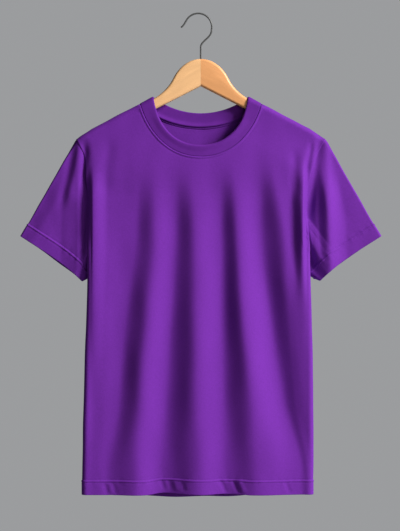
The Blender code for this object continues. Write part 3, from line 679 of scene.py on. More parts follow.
def panel_seams(side):
    """Search trees over the panel's neck seam and over its shoulder, armhole and side seams."""
    share = np.linspace(0.0, 1.0, 300)
    neck = bezier(side.seam, share)
    shoulder = np.array([NECK_CORNER, HANGER_TIP, SHOULDER_POINT])
    arm = armhole(share)
    low = np.linspace(arm[-1, 1], side.hem, 200)
    flank = np.stack([along(OUTLINE_HEIGHTS, FLAT_HALF, low), low], axis=-1)
    edge = np.concatenate([shoulder, arm[1:], flank[1:]])
    trees = []
    for line in (neck, edge):
        halves = [body_point(side, sign * line[:, 0], line[:, 1]) for sign in (-1.0, 1.0)]
        trees.append([line_tree(half) for half in halves])
    return trees


def nearest(trees, points):
    """Distance of each point to the nearer of two lines, that on its own side."""
    left = points[:, 0] > 0
    distance = np.zeros(len(points))
    for tree, own in zip(trees, (~left, left)):
        distance[own] = distance_to(tree, points[own])
    return distance


def hem_lift(side, spread, height):
    """How much higher than its cut the cloth hangs near the uneven hem."""
    places, lifts = zip(*side.hem_lift)
    lift = MILLIMETRE * read_table([MILLIMETRE * place for place in places], lifts, spread)
    return lift * smooth((side.hem + LIFT_FADES - height) / LIFT_FADES)


def panel_surface(side, seams, spread, level, wrinkle):
    """Where points of a panel hang, with all its relief, and the way they face."""
    height = level + hem_lift(side, spread, level)
    base = body_point(side, spread, height)
    normal = faces_out(side, spread, height)
    relief = crease_relief(side.creases, spread, level)
    relief += wrinkle * ripple(side.seed, spread, level, *PANEL_WAVES)
    relief += neck_relief(nearest(seams[0], base)) + seam_relief(nearest(seams[1], base), BODY_STEP)
    relief += hem_relief(level - side.hem, spread)
    return base + normal * relief[:, None], normal


# ---- Grids -----------------------------------------------------------------------------------------
def panel_top(side):
    """Half of the panel's top edge, from the shoulder point along the shoulder to the neck's centre."""
    corners = np.array([SHOULDER_POINT, HANGER_TIP, NECK_CORNER])
    inward = (np.arange(SHOULDER_STEPS) / SHOULDER_STEPS) ** EDGE_CROWDING
    across = SHOULDER_POINT[0] + (NECK_CORNER[0] - SHOULDER_POINT[0]) * inward
    height = np.interp(across, corners[::-1, 0], corners[::-1, 1])
    shoulder = np.stack([across, height], axis=-1)
    return np.concatenate([shoulder, bezier(side.seam, neck_shares(NECK_STEPS))])


def half_row(side, share, edge):
    """Flat distances and heights of one row of half a panel that ends at a share of the armhole."""
    top = panel_top(side)
    settled = smooth(share)
    inner = NECK_CORNER[0] + (SIDE_EDGE_HEM - NECK_CORNER[0]) * settled
    outward = 1.0 - (np.arange(SHOULDER_STEPS) / SHOULDER_STEPS) ** EDGE_CROWDING
    sides = inner + (edge[0] - inner) * outward
    even = np.linspace(1.0, 0.0, NECK_STEPS + 1)
    crowded = top[SHOULDER_STEPS:, 0] / NECK_CORNER[0]
    middle = inner * (crowded + (even - crowded) * settled)
    spread = np.concatenate([sides, middle])
    height = top[:, 1] + (ARMHOLE_UNDER[-1][1] - top[:, 1]) * share
    return spread, height + (edge[1] - height[0]) * (spread / edge[0]) ** SIDE_PULL


def panel_flat(side):
    """Flat distance and level of every point of a panel's outer face, [row, column]."""
    shares = armhole_shares()
    arm = armhole(shares)
    halves = [half_row(side, share, edge) for share, edge in zip(shares, arm)]
    stitched = side.hem + np.array(HEM_ROWS)
    for level in np.concatenate([np.linspace(arm[-1, 1], stitched[0], BODY_ROWS + 1)[1:-1], stitched]):
        flat_half = along(OUTLINE_HEIGHTS, FLAT_HALF, [level])[0]
        spread, _ = half_row(side, 1.0, (flat_half, level))
        halves.append((spread, np.full(len(spread), level)))
    spread = np.array([np.concatenate([-half[0], half[0][::-1][1:]]) for half in halves])
    level = np.array([np.concatenate([half[1], half[1][::-1][1:]]) for half in halves])
    return spread, level


def grid_normals(points):
    """The way each point of a grid faces."""
    return unit(np.cross(np.gradient(points, axis=0), np.gradient(points, axis=1)))


def edge_back(points):
    """Draw a grid's sewn edges back by half of the seam's gap."""
    for edge, inner in ((points[:, 0], points[:, 1]), (points[:, -1], points[:, -2]), (points[0], points[2])):
        edge += SEAM_GAP / 2 * unit(inner - edge)


def turned_hem(points, uv, layers):
    """Add the hem's fold, and its inner layer as far up as the last of the hem's rows."""
    normal = grid_normals(points)
    ahead = unit(points[-1] - points[-2])
    extra, flat = [], []
    for turn in np.radians(HEM_TURNS):
        extra.append(points[-1] + HEM_FOLD * (math.sin(turn) * ahead - (1 - math.cos(turn)) * normal[-1]))
        flat.append(uv[-1] + (0.0, -HEM_FOLD * turn))
    for index in np.linspace(1, len(HEM_ROWS) - HEM_INNER_SKIPS, layers).round().astype(int):
        extra.append(points[-index] - 2 * HEM_FOLD * normal[-index])
        flat.append(uv[-index] * (1.0, -1.0) + (0.0, 2 * uv[-1, :, 1].mean() - HEM_FOLD * math.pi))
    return np.concatenate([points, np.array(extra)]), np.concatenate([uv, np.array(flat)])


def grid_mesh(name, points, uv, wrap_rows=False, wrap_columns=False):
    """A grid of points, [row, column], as a mesh of quads with its flat cut as a UV map."""
    rows, columns = points.shape[:2]
    index = np.arange(rows * columns).reshape(rows, columns)
    if wrap_rows:
        index = np.concatenate([index, index[:1]])
    if wrap_columns:
        index = np.concatenate([index, index[:, :1]], axis=1)
    corners = (slice(None, -1), slice(1, None), slice(1, None), slice(None, -1))
    sides = (slice(None, -1), slice(None, -1), slice(1, None), slice(1, None))
    quads = np.stack([index[row, column] for row, column in zip(corners, sides)], axis=-1)
    places = np.stack([uv[row, column] for row, column in zip(corners, sides)], axis=-2)
    mesh = bpy.data.meshes.new(name)
    mesh.from_pydata(points.reshape(-1, 3).tolist(), [], quads.reshape(-1, 4).tolist())
    cut = mesh.uv_layers.new(name="cut")
    cut.data.foreach_set("uv", places.reshape(-1).astype(np.float32))
    mesh.shade_smooth()
    return mesh


# ---- Objects ---------------------------------------------------------------------------------------
def add_object(name, mesh, material):
    """Put a finished mesh in the scene, alone selected."""
    piece = bpy.data.objects.new(name, mesh)
    piece.data.materials.append(material)
    bpy.context.scene.collection.objects.link(piece)
    select_only(piece)
    return piece


def select_only(piece):
    """Make one object the only one that operators act on."""
    bpy.ops.object.select_all(action="DESELECT")
    bpy.context.view_layer.objects.active = piece
    piece.select_set(True)


def thicken(piece, wall, reverse=None):
    """Give a sheet its thickness on the inside, where its reverse may show a material of its own, such as the
    jersey's lighter reverse with its painted light.
    """
    select_only(piece)
    thick = piece.modifiers.new("wall", "SOLIDIFY")
    thick.thickness = wall
    thick.offset = -1.0
    if reverse:
        piece.data.materials.append(material_named(reverse))
        thick.material_offset = 1
        thick.use_quality_normals = True
    bpy.ops.object.modifier_apply(modifier="wall")


def take_place(piece, node):
    """Let a finished piece ride on the body and stand for its solid."""
    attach(piece, BODY)
    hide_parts(node)
    return piece


def stitch_shape(settings):
    """One short length of thread, sunk at both ends."""
    bpy.ops.object.select_all(action="DESELECT")
    bpy.ops.mesh.primitive_uv_sphere_add(segments=6, ring_count=5, radius=1.0)
    shape = bpy.context.object
    bpy.ops.object.mode_set(mode="EDIT")
    bpy.ops.mesh.select_all(action="SELECT")
    bpy.ops.transform.rotate(value=math.pi / 2, orient_axis="Y", center_override=(0.0, 0.0, 0.0))
    bpy.ops.transform.resize(value=(settings.length / 2, settings.radius, settings.radius))
    bpy.ops.object.mode_set(mode="OBJECT")
    corners = np.array([vertex.co for vertex in shape.data.vertices])
    faces = [list(face.vertices) for face in shape.data.polygons]
    bpy.data.objects.remove(shape)
    return corners, faces


def stitch_frames(path, normals, pitch):
    """Places along a line, evenly spaced, with the way the line runs and the way the cloth faces."""
    lengths = lengths_to(path)
    places = np.arange(pitch / 2, lengths[-1], pitch)
    before, after = (read_line(path, lengths, places + step) for step in (-pitch / 4, pitch / 4))
    ahead = unit(after - before)
    up = read_line(normals, lengths, places)
    up = unit(up - ahead * (up * ahead).sum(axis=1)[:, None])
    return read_line(path, lengths, places), ahead, np.cross(up, ahead), up


def sew(name, lines, settings):
    """A joined mesh of the stitches along several lines of points and normals."""
    corners, faces = stitch_shape(settings)
    vertices, polygons = [], []
    for path, normals in lines:
        for spot, x, y, z in zip(*stitch_frames(path, normals, settings.pitch)):
            start = len(vertices) * len(corners)
            vertices.append(spot + corners @ np.stack([x, y, z]))
            polygons.extend([[start + corner for corner in face] for face in faces])
    mesh = bpy.data.meshes.new(name)
    mesh.from_pydata(np.concatenate(vertices).tolist(), [], polygons)
    mesh.shade_smooth()
    piece = add_object(name, mesh, material_named("thread"))
    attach(piece, BODY)
    return piece


# ---- Materials -------------------------------------------------------------------------------------
def new_material(name, plain):
    """A material with these plain values on its shader, its node tree and its Object coordinates."""
    material = bpy.data.materials.new(name)
    material.use_nodes = True
    tree = material.node_tree
    for socket, value in plain.items():
        tree.nodes["Principled BSDF"].inputs[socket].default_value = value
    return material, tree, add_node(tree, "ShaderNodeTexCoord").outputs["Object"]


def add_node(tree, kind, links=(), **values):
    """A node with its settings, its plain inputs and its links (socket, source socket)."""
    node = tree.nodes.new(kind)
    for key, value in values.items():
        if key in node.inputs:
            node.inputs[key].default_value = value
        else:
            setattr(node, key, value)
    for socket, source in links:
        tree.links.new(source, node.inputs[socket])
    return node


def math_node(tree, operation, first, second=0.0):
    """One sum on sockets or numbers."""
    node = tree.nodes.new("ShaderNodeMath")
    node.operation = operation
    for socket, value in zip(node.inputs, (first, second)):
        if isinstance(value, (int, float)):
            socket.default_value = value
        else:
            tree.links.new(value, socket)
    return node.outputs[0]


def blend_heights(tree, first, share, second, other):
    """Two heights or patterns added, each taken by its share."""
    one = math_node(tree, "MULTIPLY", first, share)
    return math_node(tree, "ADD", one, math_node(tree, "MULTIPLY", second, other))


def noise(tree, place, scale, detail, **values):
    """A cloudy pattern."""
    cloud = add_node(tree, "ShaderNodeTexNoise", [("Vector", place)], Scale=scale, Detail=detail, **values)
    return cloud.outputs["Fac"]


def tones(tree, pattern, color, low, high):
    """A colour made darker and lighter, at two places (place, factor) of a pattern."""
    ramp = add_node(tree, "ShaderNodeValToRGB", [("Fac", pattern)])
    for element, (place, factor) in zip(ramp.color_ramp.elements, (low, high)):
        element.position = place
        element.color = (*[channel * factor for channel in color], 1.0)
    return ramp.outputs["Color"]


def mottle(tree, place, color, scale, low, high):
    """A colour that varies faintly between a darker and a lighter tone."""
    return tones(tree, noise(tree, place, scale, 5.0, Roughness=0.6), color, (0.30, low), (0.70, high))


def set_surface(tree, color, height, strength, distance):
    """Give the shader its colour, and its bump from a height."""
    shader = tree.nodes["Principled BSDF"]
    bump = add_node(tree, "ShaderNodeBump", [("Height", height)], Strength=strength, Distance=distance)
    tree.links.new(color, shader.inputs["Base Color"])
    tree.links.new(bump.outputs["Normal"], shader.inputs["Normal"])


def knit_height(tree, wale, course):
    """Height of a plain knit, columns of leaning loops, and the turn of its columns.

    It lies on the cut's UV map, which is in metres.
    """
    flat = add_node(tree, "ShaderNodeUVMap", uv_map="cut")
    parts = add_node(tree, "ShaderNodeSeparateXYZ", [("Vector", flat.outputs["UV"])])
    across = math_node(tree, "MULTIPLY", parts.outputs["X"], 2 * math.pi / wale)
    down = math_node(tree, "MULTIPLY", parts.outputs["Y"], 2 * math.pi / course)
    side = math_node(tree, "ABSOLUTE", math_node(tree, "SINE", math_node(tree, "MULTIPLY", across, 0.5)))
    leaning = math_node(tree, "ADD", down, math_node(tree, "MULTIPLY", side, LOOP_LEAN))
    column = math_node(tree, "COSINE", across)
    return blend_heights(tree, column, 0.6, math_node(tree, "SINE", leaning), 0.4), column


def jersey_material(settings, name="cotton jersey", tone=1.0):
    """Fine cotton jersey: faintly mottled, with knit loops, a soft nap and a low sheen."""
    material, tree, place = new_material(name, JERSEY_SHADER)
    knit, _ = knit_height(tree, WALE, COURSE)
    height = blend_heights(tree, knit, 0.5, noise(tree, place, 900.0, 3.0), 1.0)
    # a tone above 1 lightens the reverse's colour, partly as painted light
    color = mottle(tree, place, settings.jersey, 420.0, 0.90 * tone, 1.10 * tone)
    set_surface(tree, color, height, 0.18, 0.0002)
    return material


def reverse_material(settings):
    """The jersey's inside, a little lighter than its face: partly its paler loops, partly painted light on
    the inside of the back seen through the neck.
    """
    return jersey_material(settings, "jersey reverse", REVERSE_TONE_AND_PAINTED_LIGHT)


def rib_material(settings):
    """1x1 rib knit: fine upright ribs round the neck."""
    material, tree, place = new_material("rib knit", RIB_SHADER)
    knit, ribs = knit_height(tree, RIB_WALE, RIB_COURSE)
    height = blend_heights(tree, knit, 0.3, ribs, 1.0)
    set_surface(tree, mottle(tree, place, settings.rib, 70.0, 0.95, 1.05), height, 0.22, 0.0003)
    return material


def tape_material(settings):
    """Plain woven tape in the rib's colour."""
    material, tree, place = new_material("neck tape", {"Roughness": 0.85, "Specular IOR Level": 0.15})
    weave = add_node(tree, "ShaderNodeTexWave", [("Vector", place)], Scale=420.0, Distortion=0.5)
    set_surface(tree, mottle(tree, place, settings.rib, 90.0, 0.92, 1.06), weave.outputs["Fac"], 0.15, 0.0002)
    return material


def thread_material(settings):
    """Polyester sewing thread, a little glossier than the cloth."""
    material, tree, place = new_material("thread", {"Roughness": 0.65, "Specular IOR Level": 0.20})
    twist = add_node(tree, "ShaderNodeTexWave", [("Vector", place)], Scale=700.0, Distortion=1.0)
    color = mottle(tree, place, settings.thread, 300.0, 0.92, 1.08)
    set_surface(tree, color, twist.outputs["Fac"], 0.2, 0.0001)
    return material


def wood_material(name, color, slope, seed, swirl):
    """Varnished pale wood with long faint grain that runs down the arm."""
    plain = {"Roughness": 0.42, "Coat Weight": 0.15, "Coat Roughness": 0.35}
    material, tree, place = new_material(name, plain)
    turned = add_node(tree, "ShaderNodeMapping", [("Vector", place)])
    turned.inputs["Location"].default_value = (seed, 0.0, 0.0)
    turned.inputs["Rotation"].default_value = (0.0, slope, 0.0)
    drawn = add_node(tree, "ShaderNodeMapping", [("Vector", turned.outputs["Vector"])])
    drawn.inputs["Scale"].default_value = (14.0, 60.0, 95.0)
    grain = noise(tree, drawn.outputs["Vector"], 1.0, 5.0, Distortion=swirl)
    mixed = blend_heights(tree, grain, 0.7, noise(tree, place, 26.0, 3.0), 0.3)
    set_surface(tree, tones(tree, mixed, color, (0.33, 0.91), (0.66, 1.05)), grain, 0.05, 0.0003)
    return material


def steel_material(settings):
    """Dark plated steel wire with a faintly uneven gloss."""
    material, tree, place = new_material("dark steel", {"Metallic": 0.35})
    rough = add_node(tree, "ShaderNodeMapRange", [("Value", noise(tree, place, 90.0, 2.0))])
    rough.inputs["To Min"].default_value = 0.42
    rough.inputs["To Max"].default_value = 0.50
    shader = tree.nodes["Principled BSDF"]
    tree.links.new(mottle(tree, place, settings.steel, 120.0, 0.94, 1.06), shader.inputs["Base Color"])
    tree.links.new(rough.outputs["Result"], shader.inputs["Roughness"])
    return material


def material_named(name):
    """The shared material of that name, made once."""
    existing = bpy.data.materials.get(name)
    if existing:
        return existing
    cloth, hanger = bpy.context.scene.shirt_cloth, bpy.context.scene.shirt_hanger
    makers = {
        "cotton jersey": (jersey_material, cloth),
        "jersey reverse": (reverse_material, cloth),
        "rib knit": (rib_material, cloth),
        "neck tape": (tape_material, cloth),
        "thread": (thread_material, cloth),
        "dark steel": (steel_material, hanger),
    }
    maker, settings = makers[name]
    return maker(settings)


def make_panel(context, side):
    """The front or back of the body, with its hem and the hem's stitches."""
    spread, level = panel_flat(side)
    wrinkle = context.scene.shirt_cloth.wrinkle
    surface = panel_surface(side, panel_seams(side), spread.ravel(), level.ravel(), wrinkle)
    points, normal = (part.reshape(*spread.shape, 3) for part in surface)
    edge_back(points)
    grids = (points, normal, np.stack([spread, level], axis=-1))
    names = (side.name + "_panel", side.name + "_hem_stitches")
    piece, stitches, _ = hemmed_cloth(context, side.name, names, grids, side is FRONT)


def hem_lines(points, normal):
    """The two rows of stitches above a hem whose grid ends at the fold."""
    lines = []
    for distance in (HEM_LOW_STITCH, HEM_HIGH_STITCH):
        row = HEM_ROWS.index(distance) - len(HEM_ROWS)
        lines.append((points[row], normal[row]))
    return lines


def hemmed_cloth(context, node, names, grids, in_order):
    """A piece of jersey from its points, normals and cut, with its hem turned and stitched."""
    points, normal, uv = (grid if in_order else grid[:, ::-1] for grid in grids)
    lines = hem_lines(points, normal)
    points, uv = turned_hem(points, uv, HEM_LAYERS)
    piece = add_object(names[0], grid_mesh(node, points, uv), material_named("cotton jersey"))
    # the reverse material is a little lighter than the face, partly as painted light
    thicken(piece, context.scene.shirt_cloth.wall, "jersey reverse")
    stitches = sew(names[1], lines, context.scene.shirt_stitches)
    return take_place(piece, node), stitches, points


def sleeve_hem(side, sign, shares):
    """The sleeve's open end, from its top fold round its lower fold to the underarm seam."""
    front = np.clip(shares / UNDER_SHARE, 0.0, 1.0)
    flat = bezier(SLEEVE_HEM, front)
    x, z = sign * flat[:, 0], flat[:, 1]
    out = stand_off(side, x, z)
    out += (UNDER_DEPTH - out) * smooth((front - HEM_CLOSES) / (1 - HEM_CLOSES))
    turn = np.clip((shares - UNDER_SHARE) / (1 - UNDER_SHARE), 0.0, 1.0)
    inner = 1 - np.cos(turn * math.pi / 2)
    x += sign * (SLEEVE_INNER[0] - SLEEVE_UNDER[0]) * inner
    z += (SLEEVE_INNER[1] - SLEEVE_UNDER[1]) * inner
    if side is BACK:
        z -= BACK_DROPS[sign] * bell(front - BACK_DROP_AT, BACK_DROP_WIDTH) * (1.0 - turn)
    out *= 1 - np.sin(turn * math.pi / 2)
    return np.stack([x, side.facing * out, z], axis=-1)


def sleeve_levels(lengths):
    """For each row and column of a sleeve, the share of the way from its seam to its hem."""
    seam, hem = np.array(SLEEVE_SEAM_ROWS), np.array(HEM_ROWS)
    scale = np.minimum(1.0, SLEEVE_EDGES * lengths / (seam[-1] + hem[0]))
    top = seam[:, None] * scale / lengths
    low = 1.0 - hem[:, None] * scale / lengths
    share = np.linspace(0.0, 1.0, SLEEVE_STEPS + 1)[1:-1, None]
    return np.concatenate([top, top[-1] + (low[0] - top[-1]) * share, low])


def sleeve_half(side, sign):
    """Points of the front or back half of a sleeve, from its top fold to the underarm seam."""
    shares = armhole_shares()
    arm = armhole(shares)
    start = body_point(side, sign * arm[:, 0], arm[:, 1])
    lifted = smooth((shares - LIFT_SHARES[0]) / (LIFT_SHARES[1] - LIFT_SHARES[0]))[:, None]
    away = faces_out(side, sign * arm[:, 0], arm[:, 1]) * lifted
    end = sleeve_hem(side, sign, shares)
    free = 1 - smooth((shares - SLEEVE_FREE) / (UNDER_SHARE - SLEEVE_FREE))
    base = [stand_off(side, edge[:, 0], edge[:, 2]) for edge in (start, end)]
    rows = []
    for level in sleeve_levels(np.linalg.norm(end - start, axis=1)):
        points = start + (end - start) * level[:, None]
        hung = stand_off(side, points[:, 0], points[:, 2])
        extra = hung - base[0] * (1 - level) - base[1] * level
        points[:, 1] += side.facing * extra * free
        lift = read_table(SLEEVE_ROWS, SLEEVE_LIFTS, level)
        rows.append(points + away * lift[:, None])
    return np.array(rows)


def sleeve_relief(points, top_column, wrinkle, seed):
    """Creases and ripples of a sleeve's grid, for its front half and then its back half."""
    across, height = points[..., 0], points[..., 2]
    relief = np.zeros(points.shape[:2])
    for part, side in ((slice(0, top_column + 1), FRONT), (slice(top_column, None), BACK)):
        relief[:, part] = crease_relief(side.creases, across[:, part], height[:, part])
    return relief + wrinkle * ripple(seed, across, height, *SLEEVE_WAVES)


def make_sleeve(context, sign, name):
    """One sleeve, with its hem and the hem's stitches."""
    front, back = (sleeve_half(side, sign) for side in (FRONT, BACK))
    points = np.concatenate([front[:, ::-1], back[:, 1:]], axis=1)
    points[:, 0, 1] = -SEAM_GAP / 2
    points[:, -1, 1] = SEAM_GAP / 2
    trees = (line_tree(points[0]), line_tree(points[:, 0]))
    seam, under = (distance_to(tree, points.reshape(-1, 3)).reshape(points.shape[:2]) for tree in trees)
    relief = sleeve_relief(points, front.shape[1] - 1, context.scene.shirt_cloth.wrinkle, SLEEVE_SEEDS[sign])
    girth = lengths_to(points[-1])
    above_hem = np.full(len(points), HEM_ROWS[0] * 2)
    above_hem[-len(HEM_ROWS) :] = HEM_ROWS
    relief += hem_relief(*np.broadcast_arrays(above_hem[:, None], girth[None, :]))
    relief += seam_relief(seam, SLEEVE_STEP) + seam_relief(under, 0.0)
    normal = sign * grid_normals(points)
    points = points + normal * relief[..., None]
    edge_back(points)
    uv = np.stack([np.repeat(girth[None, :], len(points), axis=0), -seam], axis=-1)
    names = (name + "_cloth", name + "_stitches")
    piece, stitches, points = hemmed_cloth(context, name, names, (points, normal, uv), sign > 0)


def neck_ring(curve_name, steps):
    """The whole neck curve, closed, clockwise from the wearer's left shoulder through the front."""
    quarters = []
    for side in (FRONT, BACK):
        flat = bezier(getattr(side, curve_name), neck_shares(steps))
        out = side.facing * stand_off(side, flat[:, 0], flat[:, 1])
        left = np.stack([flat[:, 0], out, flat[:, 1]], axis=-1)
        mirror_out = side.facing * stand_off(side, -flat[:, 0], flat[:, 1])
        right = np.stack([-flat[:, 0], mirror_out, flat[:, 1]], axis=-1)
        quarters.append((left, right))
    (front_left, front_right), (back_left, back_right) = quarters
    front = np.concatenate([front_left, front_right[::-1][1:]])
    back = np.concatenate([back_right[1:], back_left[::-1][1:-1]])
    return np.concatenate([front, back])


def rib_section():
    """Closed section of the folded rib: share of its width from the free edge, and stand-off."""
    reach, count = RIB_FOLD_TURNS
    thick = (RIB_OUT - RIB_IN) / 2
    middle = (RIB_OUT + RIB_IN) / 2
    section = [(1.0, middle + 0.3 * thick), (RIB_RIM, RIB_OUT - 0.25 * thick)]
    for share in np.linspace(*RIB_FACE[::-1], RIB_FACE_STEPS):
        crown = RIB_CROWN * math.sin(math.pi * min(share * 1.1, 1.0))
        crown += RIB_BEAD * smooth(share / RIB_BEAD_AT) * smooth(1.0 - (share - RIB_BEAD_AT) / RIB_BEAD_SLOPE)
        section.append((share, RIB_OUT + crown))
    for turn in np.radians(np.linspace(reach, -reach, count)):
        section.append((RIB_FOLD - RIB_FOLD * math.cos(turn), middle + thick * math.sin(turn)))
    for share in np.linspace(*RIB_FACE, RIB_FACE_STEPS):
        bulge = RIB_BULGE * bell(share - RIB_BULGE_AT, RIB_BULGE_WIDTH)
        section.append((share, RIB_IN - bulge))
    section.append((RIB_RIM, RIB_IN + 0.25 * thick))
    return np.array(section)


def make_rib():
    """The folded neck rib, a closed ring."""
    free, seam = neck_ring("free", RIB_STEPS), neck_ring("seam", RIB_STEPS)
    width = np.linalg.norm(seam - free, axis=1)
    across = unit(seam - free)
    ahead = np.roll(free + seam, -1, axis=0) - np.roll(free + seam, 1, axis=0)
    out = unit(np.cross(ahead, across))
    section = rib_section()
    tucked = RIB_TUCK * smooth((np.abs(free[:, 0]) - RIB_TUCK_FROM) / RIB_TUCK_SPAN)
    stands = section[:, 1:2] - np.maximum(section[:, 1:2] - RIB_OUT, 0.0) * tucked
    from_edge = section[:, None, 0:1] * (width - SEAM_GAP)[None, :, None] * across
    points = free + from_edge + stands[..., None] * out
    girth = lengths_to(np.concatenate([seam, seam[:1]]))
    drop = lengths_to(section * (width.mean(), 1.0))
    uv = np.stack(np.meshgrid(girth, -np.append(drop, drop[-1] + RIB_END)), axis=-1)
    mesh = grid_mesh("neck_rib", points, uv, wrap_rows=True, wrap_columns=True)
    piece = add_object("neck_rib_knit", mesh, material_named("rib knit"))
    take_place(piece, "neck_rib")


def neck_stitch_lines(context):
    """The row of stitches on the panels beside the rib's seam."""
    lines = []
    for side in (FRONT, BACK):
        half = bezier(side.seam, np.linspace(NECK_STITCH_FROM, 1.0, NECK_STITCH_STEPS))
        ahead = unit(np.gradient(half, axis=0))
        outside = half + NECK_STITCH * np.stack([-ahead[:, 1], ahead[:, 0]], axis=-1)
        flat = np.concatenate([outside * (-1.0, 1.0), outside[::-1][1:]])
        wrinkle = context.scene.shirt_cloth.wrinkle
        lines.append(panel_surface(side, panel_seams(side), flat[:, 0], flat[:, 1], wrinkle))
    return lines


def make_tape(context):
    """The narrow strip inside the back neck and its stitches."""
    half = bezier(BACK_SEAM, np.linspace(TAPE_FROM, 1.0, TAPE_STEPS + 1))
    flat = np.concatenate([half * (-1.0, 1.0), half[::-1][1:]])
    drops = np.linspace(TAPE_DROP, TAPE_WIDTH, TAPE_ROWS)
    rows = []
    for drop in drops:
        height = flat[:, 1] - drop
        inside = stand_off(BACK, flat[:, 0], height) - context.scene.shirt_cloth.wall - 2 * SEAM_GAP
        rows.append(np.stack([flat[:, 0], inside, height], axis=-1))
    points = np.array(rows)[:, ::-1]
    normal = -grid_normals(points)
    uv = np.stack(np.meshgrid(lengths_to(points[0]), -drops), axis=-1)
    piece = add_object("neck_tape_strip", grid_mesh("neck_tape", points, uv), material_named("neck tape"))
    thicken(piece, TAPE_WALL)
    inner = points + normal * TAPE_WALL
    lines = [(inner[row], normal[row]) for row in TAPE_STITCH_ROWS]
    sew("neck_tape_stitches", lines, context.scene.shirt_stitches)
    take_place(piece, "neck_tape")


def wood_outline():
    """Half of the hanger's outline: bell-shaped neck, sloping arm, rounded tip, notch below."""
    slope = (HANGER_TIP[1] - RIB_CORNER[1]) / (HANGER_TIP[0] - RIB_CORNER[0])
    arm_in = (RIB_CORNER[0], RIB_CORNER[1] - WOOD_BELOW_RIDGE)
    arm_out = (WOOD_END, RIB_CORNER[1] - WOOD_BELOW_RIDGE + slope * (WOOD_END - RIB_CORNER[0]))
    share = np.linspace(0.0, 1.0, WOOD_STEPS + 1)
    low = arm_out[1] - WOOD_HEIGHT_OUT
    over_end, under_end = (WOOD_REACH, arm_out[1] - 0.0052), (WOOD_REACH + 0.0010, low - 0.0020)
    end = bezier((arm_out, over_end, under_end, (WOOD_END, low)), share)
    under = np.array([(RIB_CORNER[0], arm_in[1] - WOOD_HEIGHT_IN), (0.0, WOOD_NOTCH)])
    return np.concatenate([bezier(WOOD_BROW, share), bezier((*WOOD_HOLLOW, arm_in), share)[1:], end, under])


def make_arm(sign, name, color, swirl):
    """One wooden arm: its outline extruded, rounded along its rims and drilled for the hook."""
    outline = wood_outline() * (sign, 1.0)
    outline[:, 0] = np.where(np.abs(outline[:, 0]) < GLUE_GAP / 2, sign * GLUE_GAP / 2, outline[:, 0])
    bpy.ops.object.select_all(action="DESELECT")
    bpy.ops.mesh.primitive_circle_add(vertices=len(outline), radius=0.1, fill_type="NGON")
    arm = bpy.context.object
    for vertex, (x, z) in zip(arm.data.vertices, outline):
        vertex.co = (x, -WOOD_THICK / 2, z)
    bpy.ops.object.mode_set(mode="EDIT")
    bpy.ops.mesh.select_all(action="SELECT")
    bpy.ops.mesh.extrude_region_move(TRANSFORM_OT_translate={"value": (0.0, WOOD_THICK, 0.0)})
    bpy.ops.mesh.select_all(action="SELECT")
    bpy.ops.mesh.normals_make_consistent(inside=False)
    bpy.ops.mesh.select_all(action="DESELECT")
    bpy.ops.mesh.select_mode(type="EDGE")
    work = bmesh.from_edit_mesh(arm.data)
    for edge in work.edges:
        one, two = (vertex.co for vertex in edge.verts)
        on_rim = abs(one.y - two.y) < GLUE_GAP
        glued = abs(one.x) < GLUE_GAP and abs(two.x) < GLUE_GAP
        edge.select_set(on_rim and not glued)
    bmesh.update_edit_mesh(arm.data)
    rounding = {"offset": WOOD_EDGE, "segments": WOOD_ROUNDING, "profile": 0.5}
    bpy.ops.mesh.bevel(affect="EDGES", clamp_overlap=True, **rounding)
    bpy.ops.object.mode_set(mode="OBJECT")
    drill(arm)
    arm.name = name + "_wood"
    arm.data.name = name
    arm.data.materials.clear()
    slope = math.atan2(HANGER_TIP[1] - RIB_CORNER[1], HANGER_TIP[0] - RIB_CORNER[0])
    arm.data.materials.append(wood_material(name + " wood", color, sign * slope, 3.0 + sign, swirl))
    select_only(arm)
    bpy.ops.object.shade_smooth_by_angle(angle=math.radians(WOOD_SMOOTH))
    take_place(arm, name)


def drill(arm):
    """Cut the bore for the hook's shank out of a wooden arm."""
    radius, depth = WIRE_RADIUS + HOOK_CLEARANCE, 2 * (HOOK_SHANK + HOOK_CLEARANCE)
    place = (0.0, 0.0, WOOD_TOP)
    bpy.ops.object.select_all(action="DESELECT")
    bpy.ops.mesh.primitive_cylinder_add(vertices=BORE_SIDES, radius=radius, depth=depth, location=place)
    cutter = bpy.context.object
    select_only(arm)
    bore = arm.modifiers.new("bore", "BOOLEAN")
    bore.object = cutter
    bpy.ops.object.modifier_apply(modifier="bore")
    bpy.data.objects.remove(cutter)


def hook_path():
    """Centre line of the hook's wire, from its shank in the wood round to its open tip."""
    centre = np.array(HOOK_CENTRE)
    turn = np.radians(np.linspace(HOOK_FROM, HOOK_TO, HOOK_STEPS["arc"]))
    arc = centre + HOOK_RADIUS * np.stack([np.cos(turn), np.sin(turn)], axis=-1)
    bend = bezier((*HOOK_BEND, arc[0]), np.linspace(0.0, 1.0, HOOK_STEPS["bend"]))
    lead = arc[-1] + HOOK_LEAD * np.array([-math.sin(turn[-1]), math.cos(turn[-1])])
    tip = bezier((arc[-1], lead, *HOOK_TIP), np.linspace(0.0, 1.0, HOOK_STEPS["tip"]))
    shank = np.array([(0.0, WOOD_TOP - HOOK_SHANK), (0.0, WOOD_TOP), (0.0, HOOK_STEM_TOP)])
    return np.concatenate([shank, bend, arc[1:], tip[1:]])


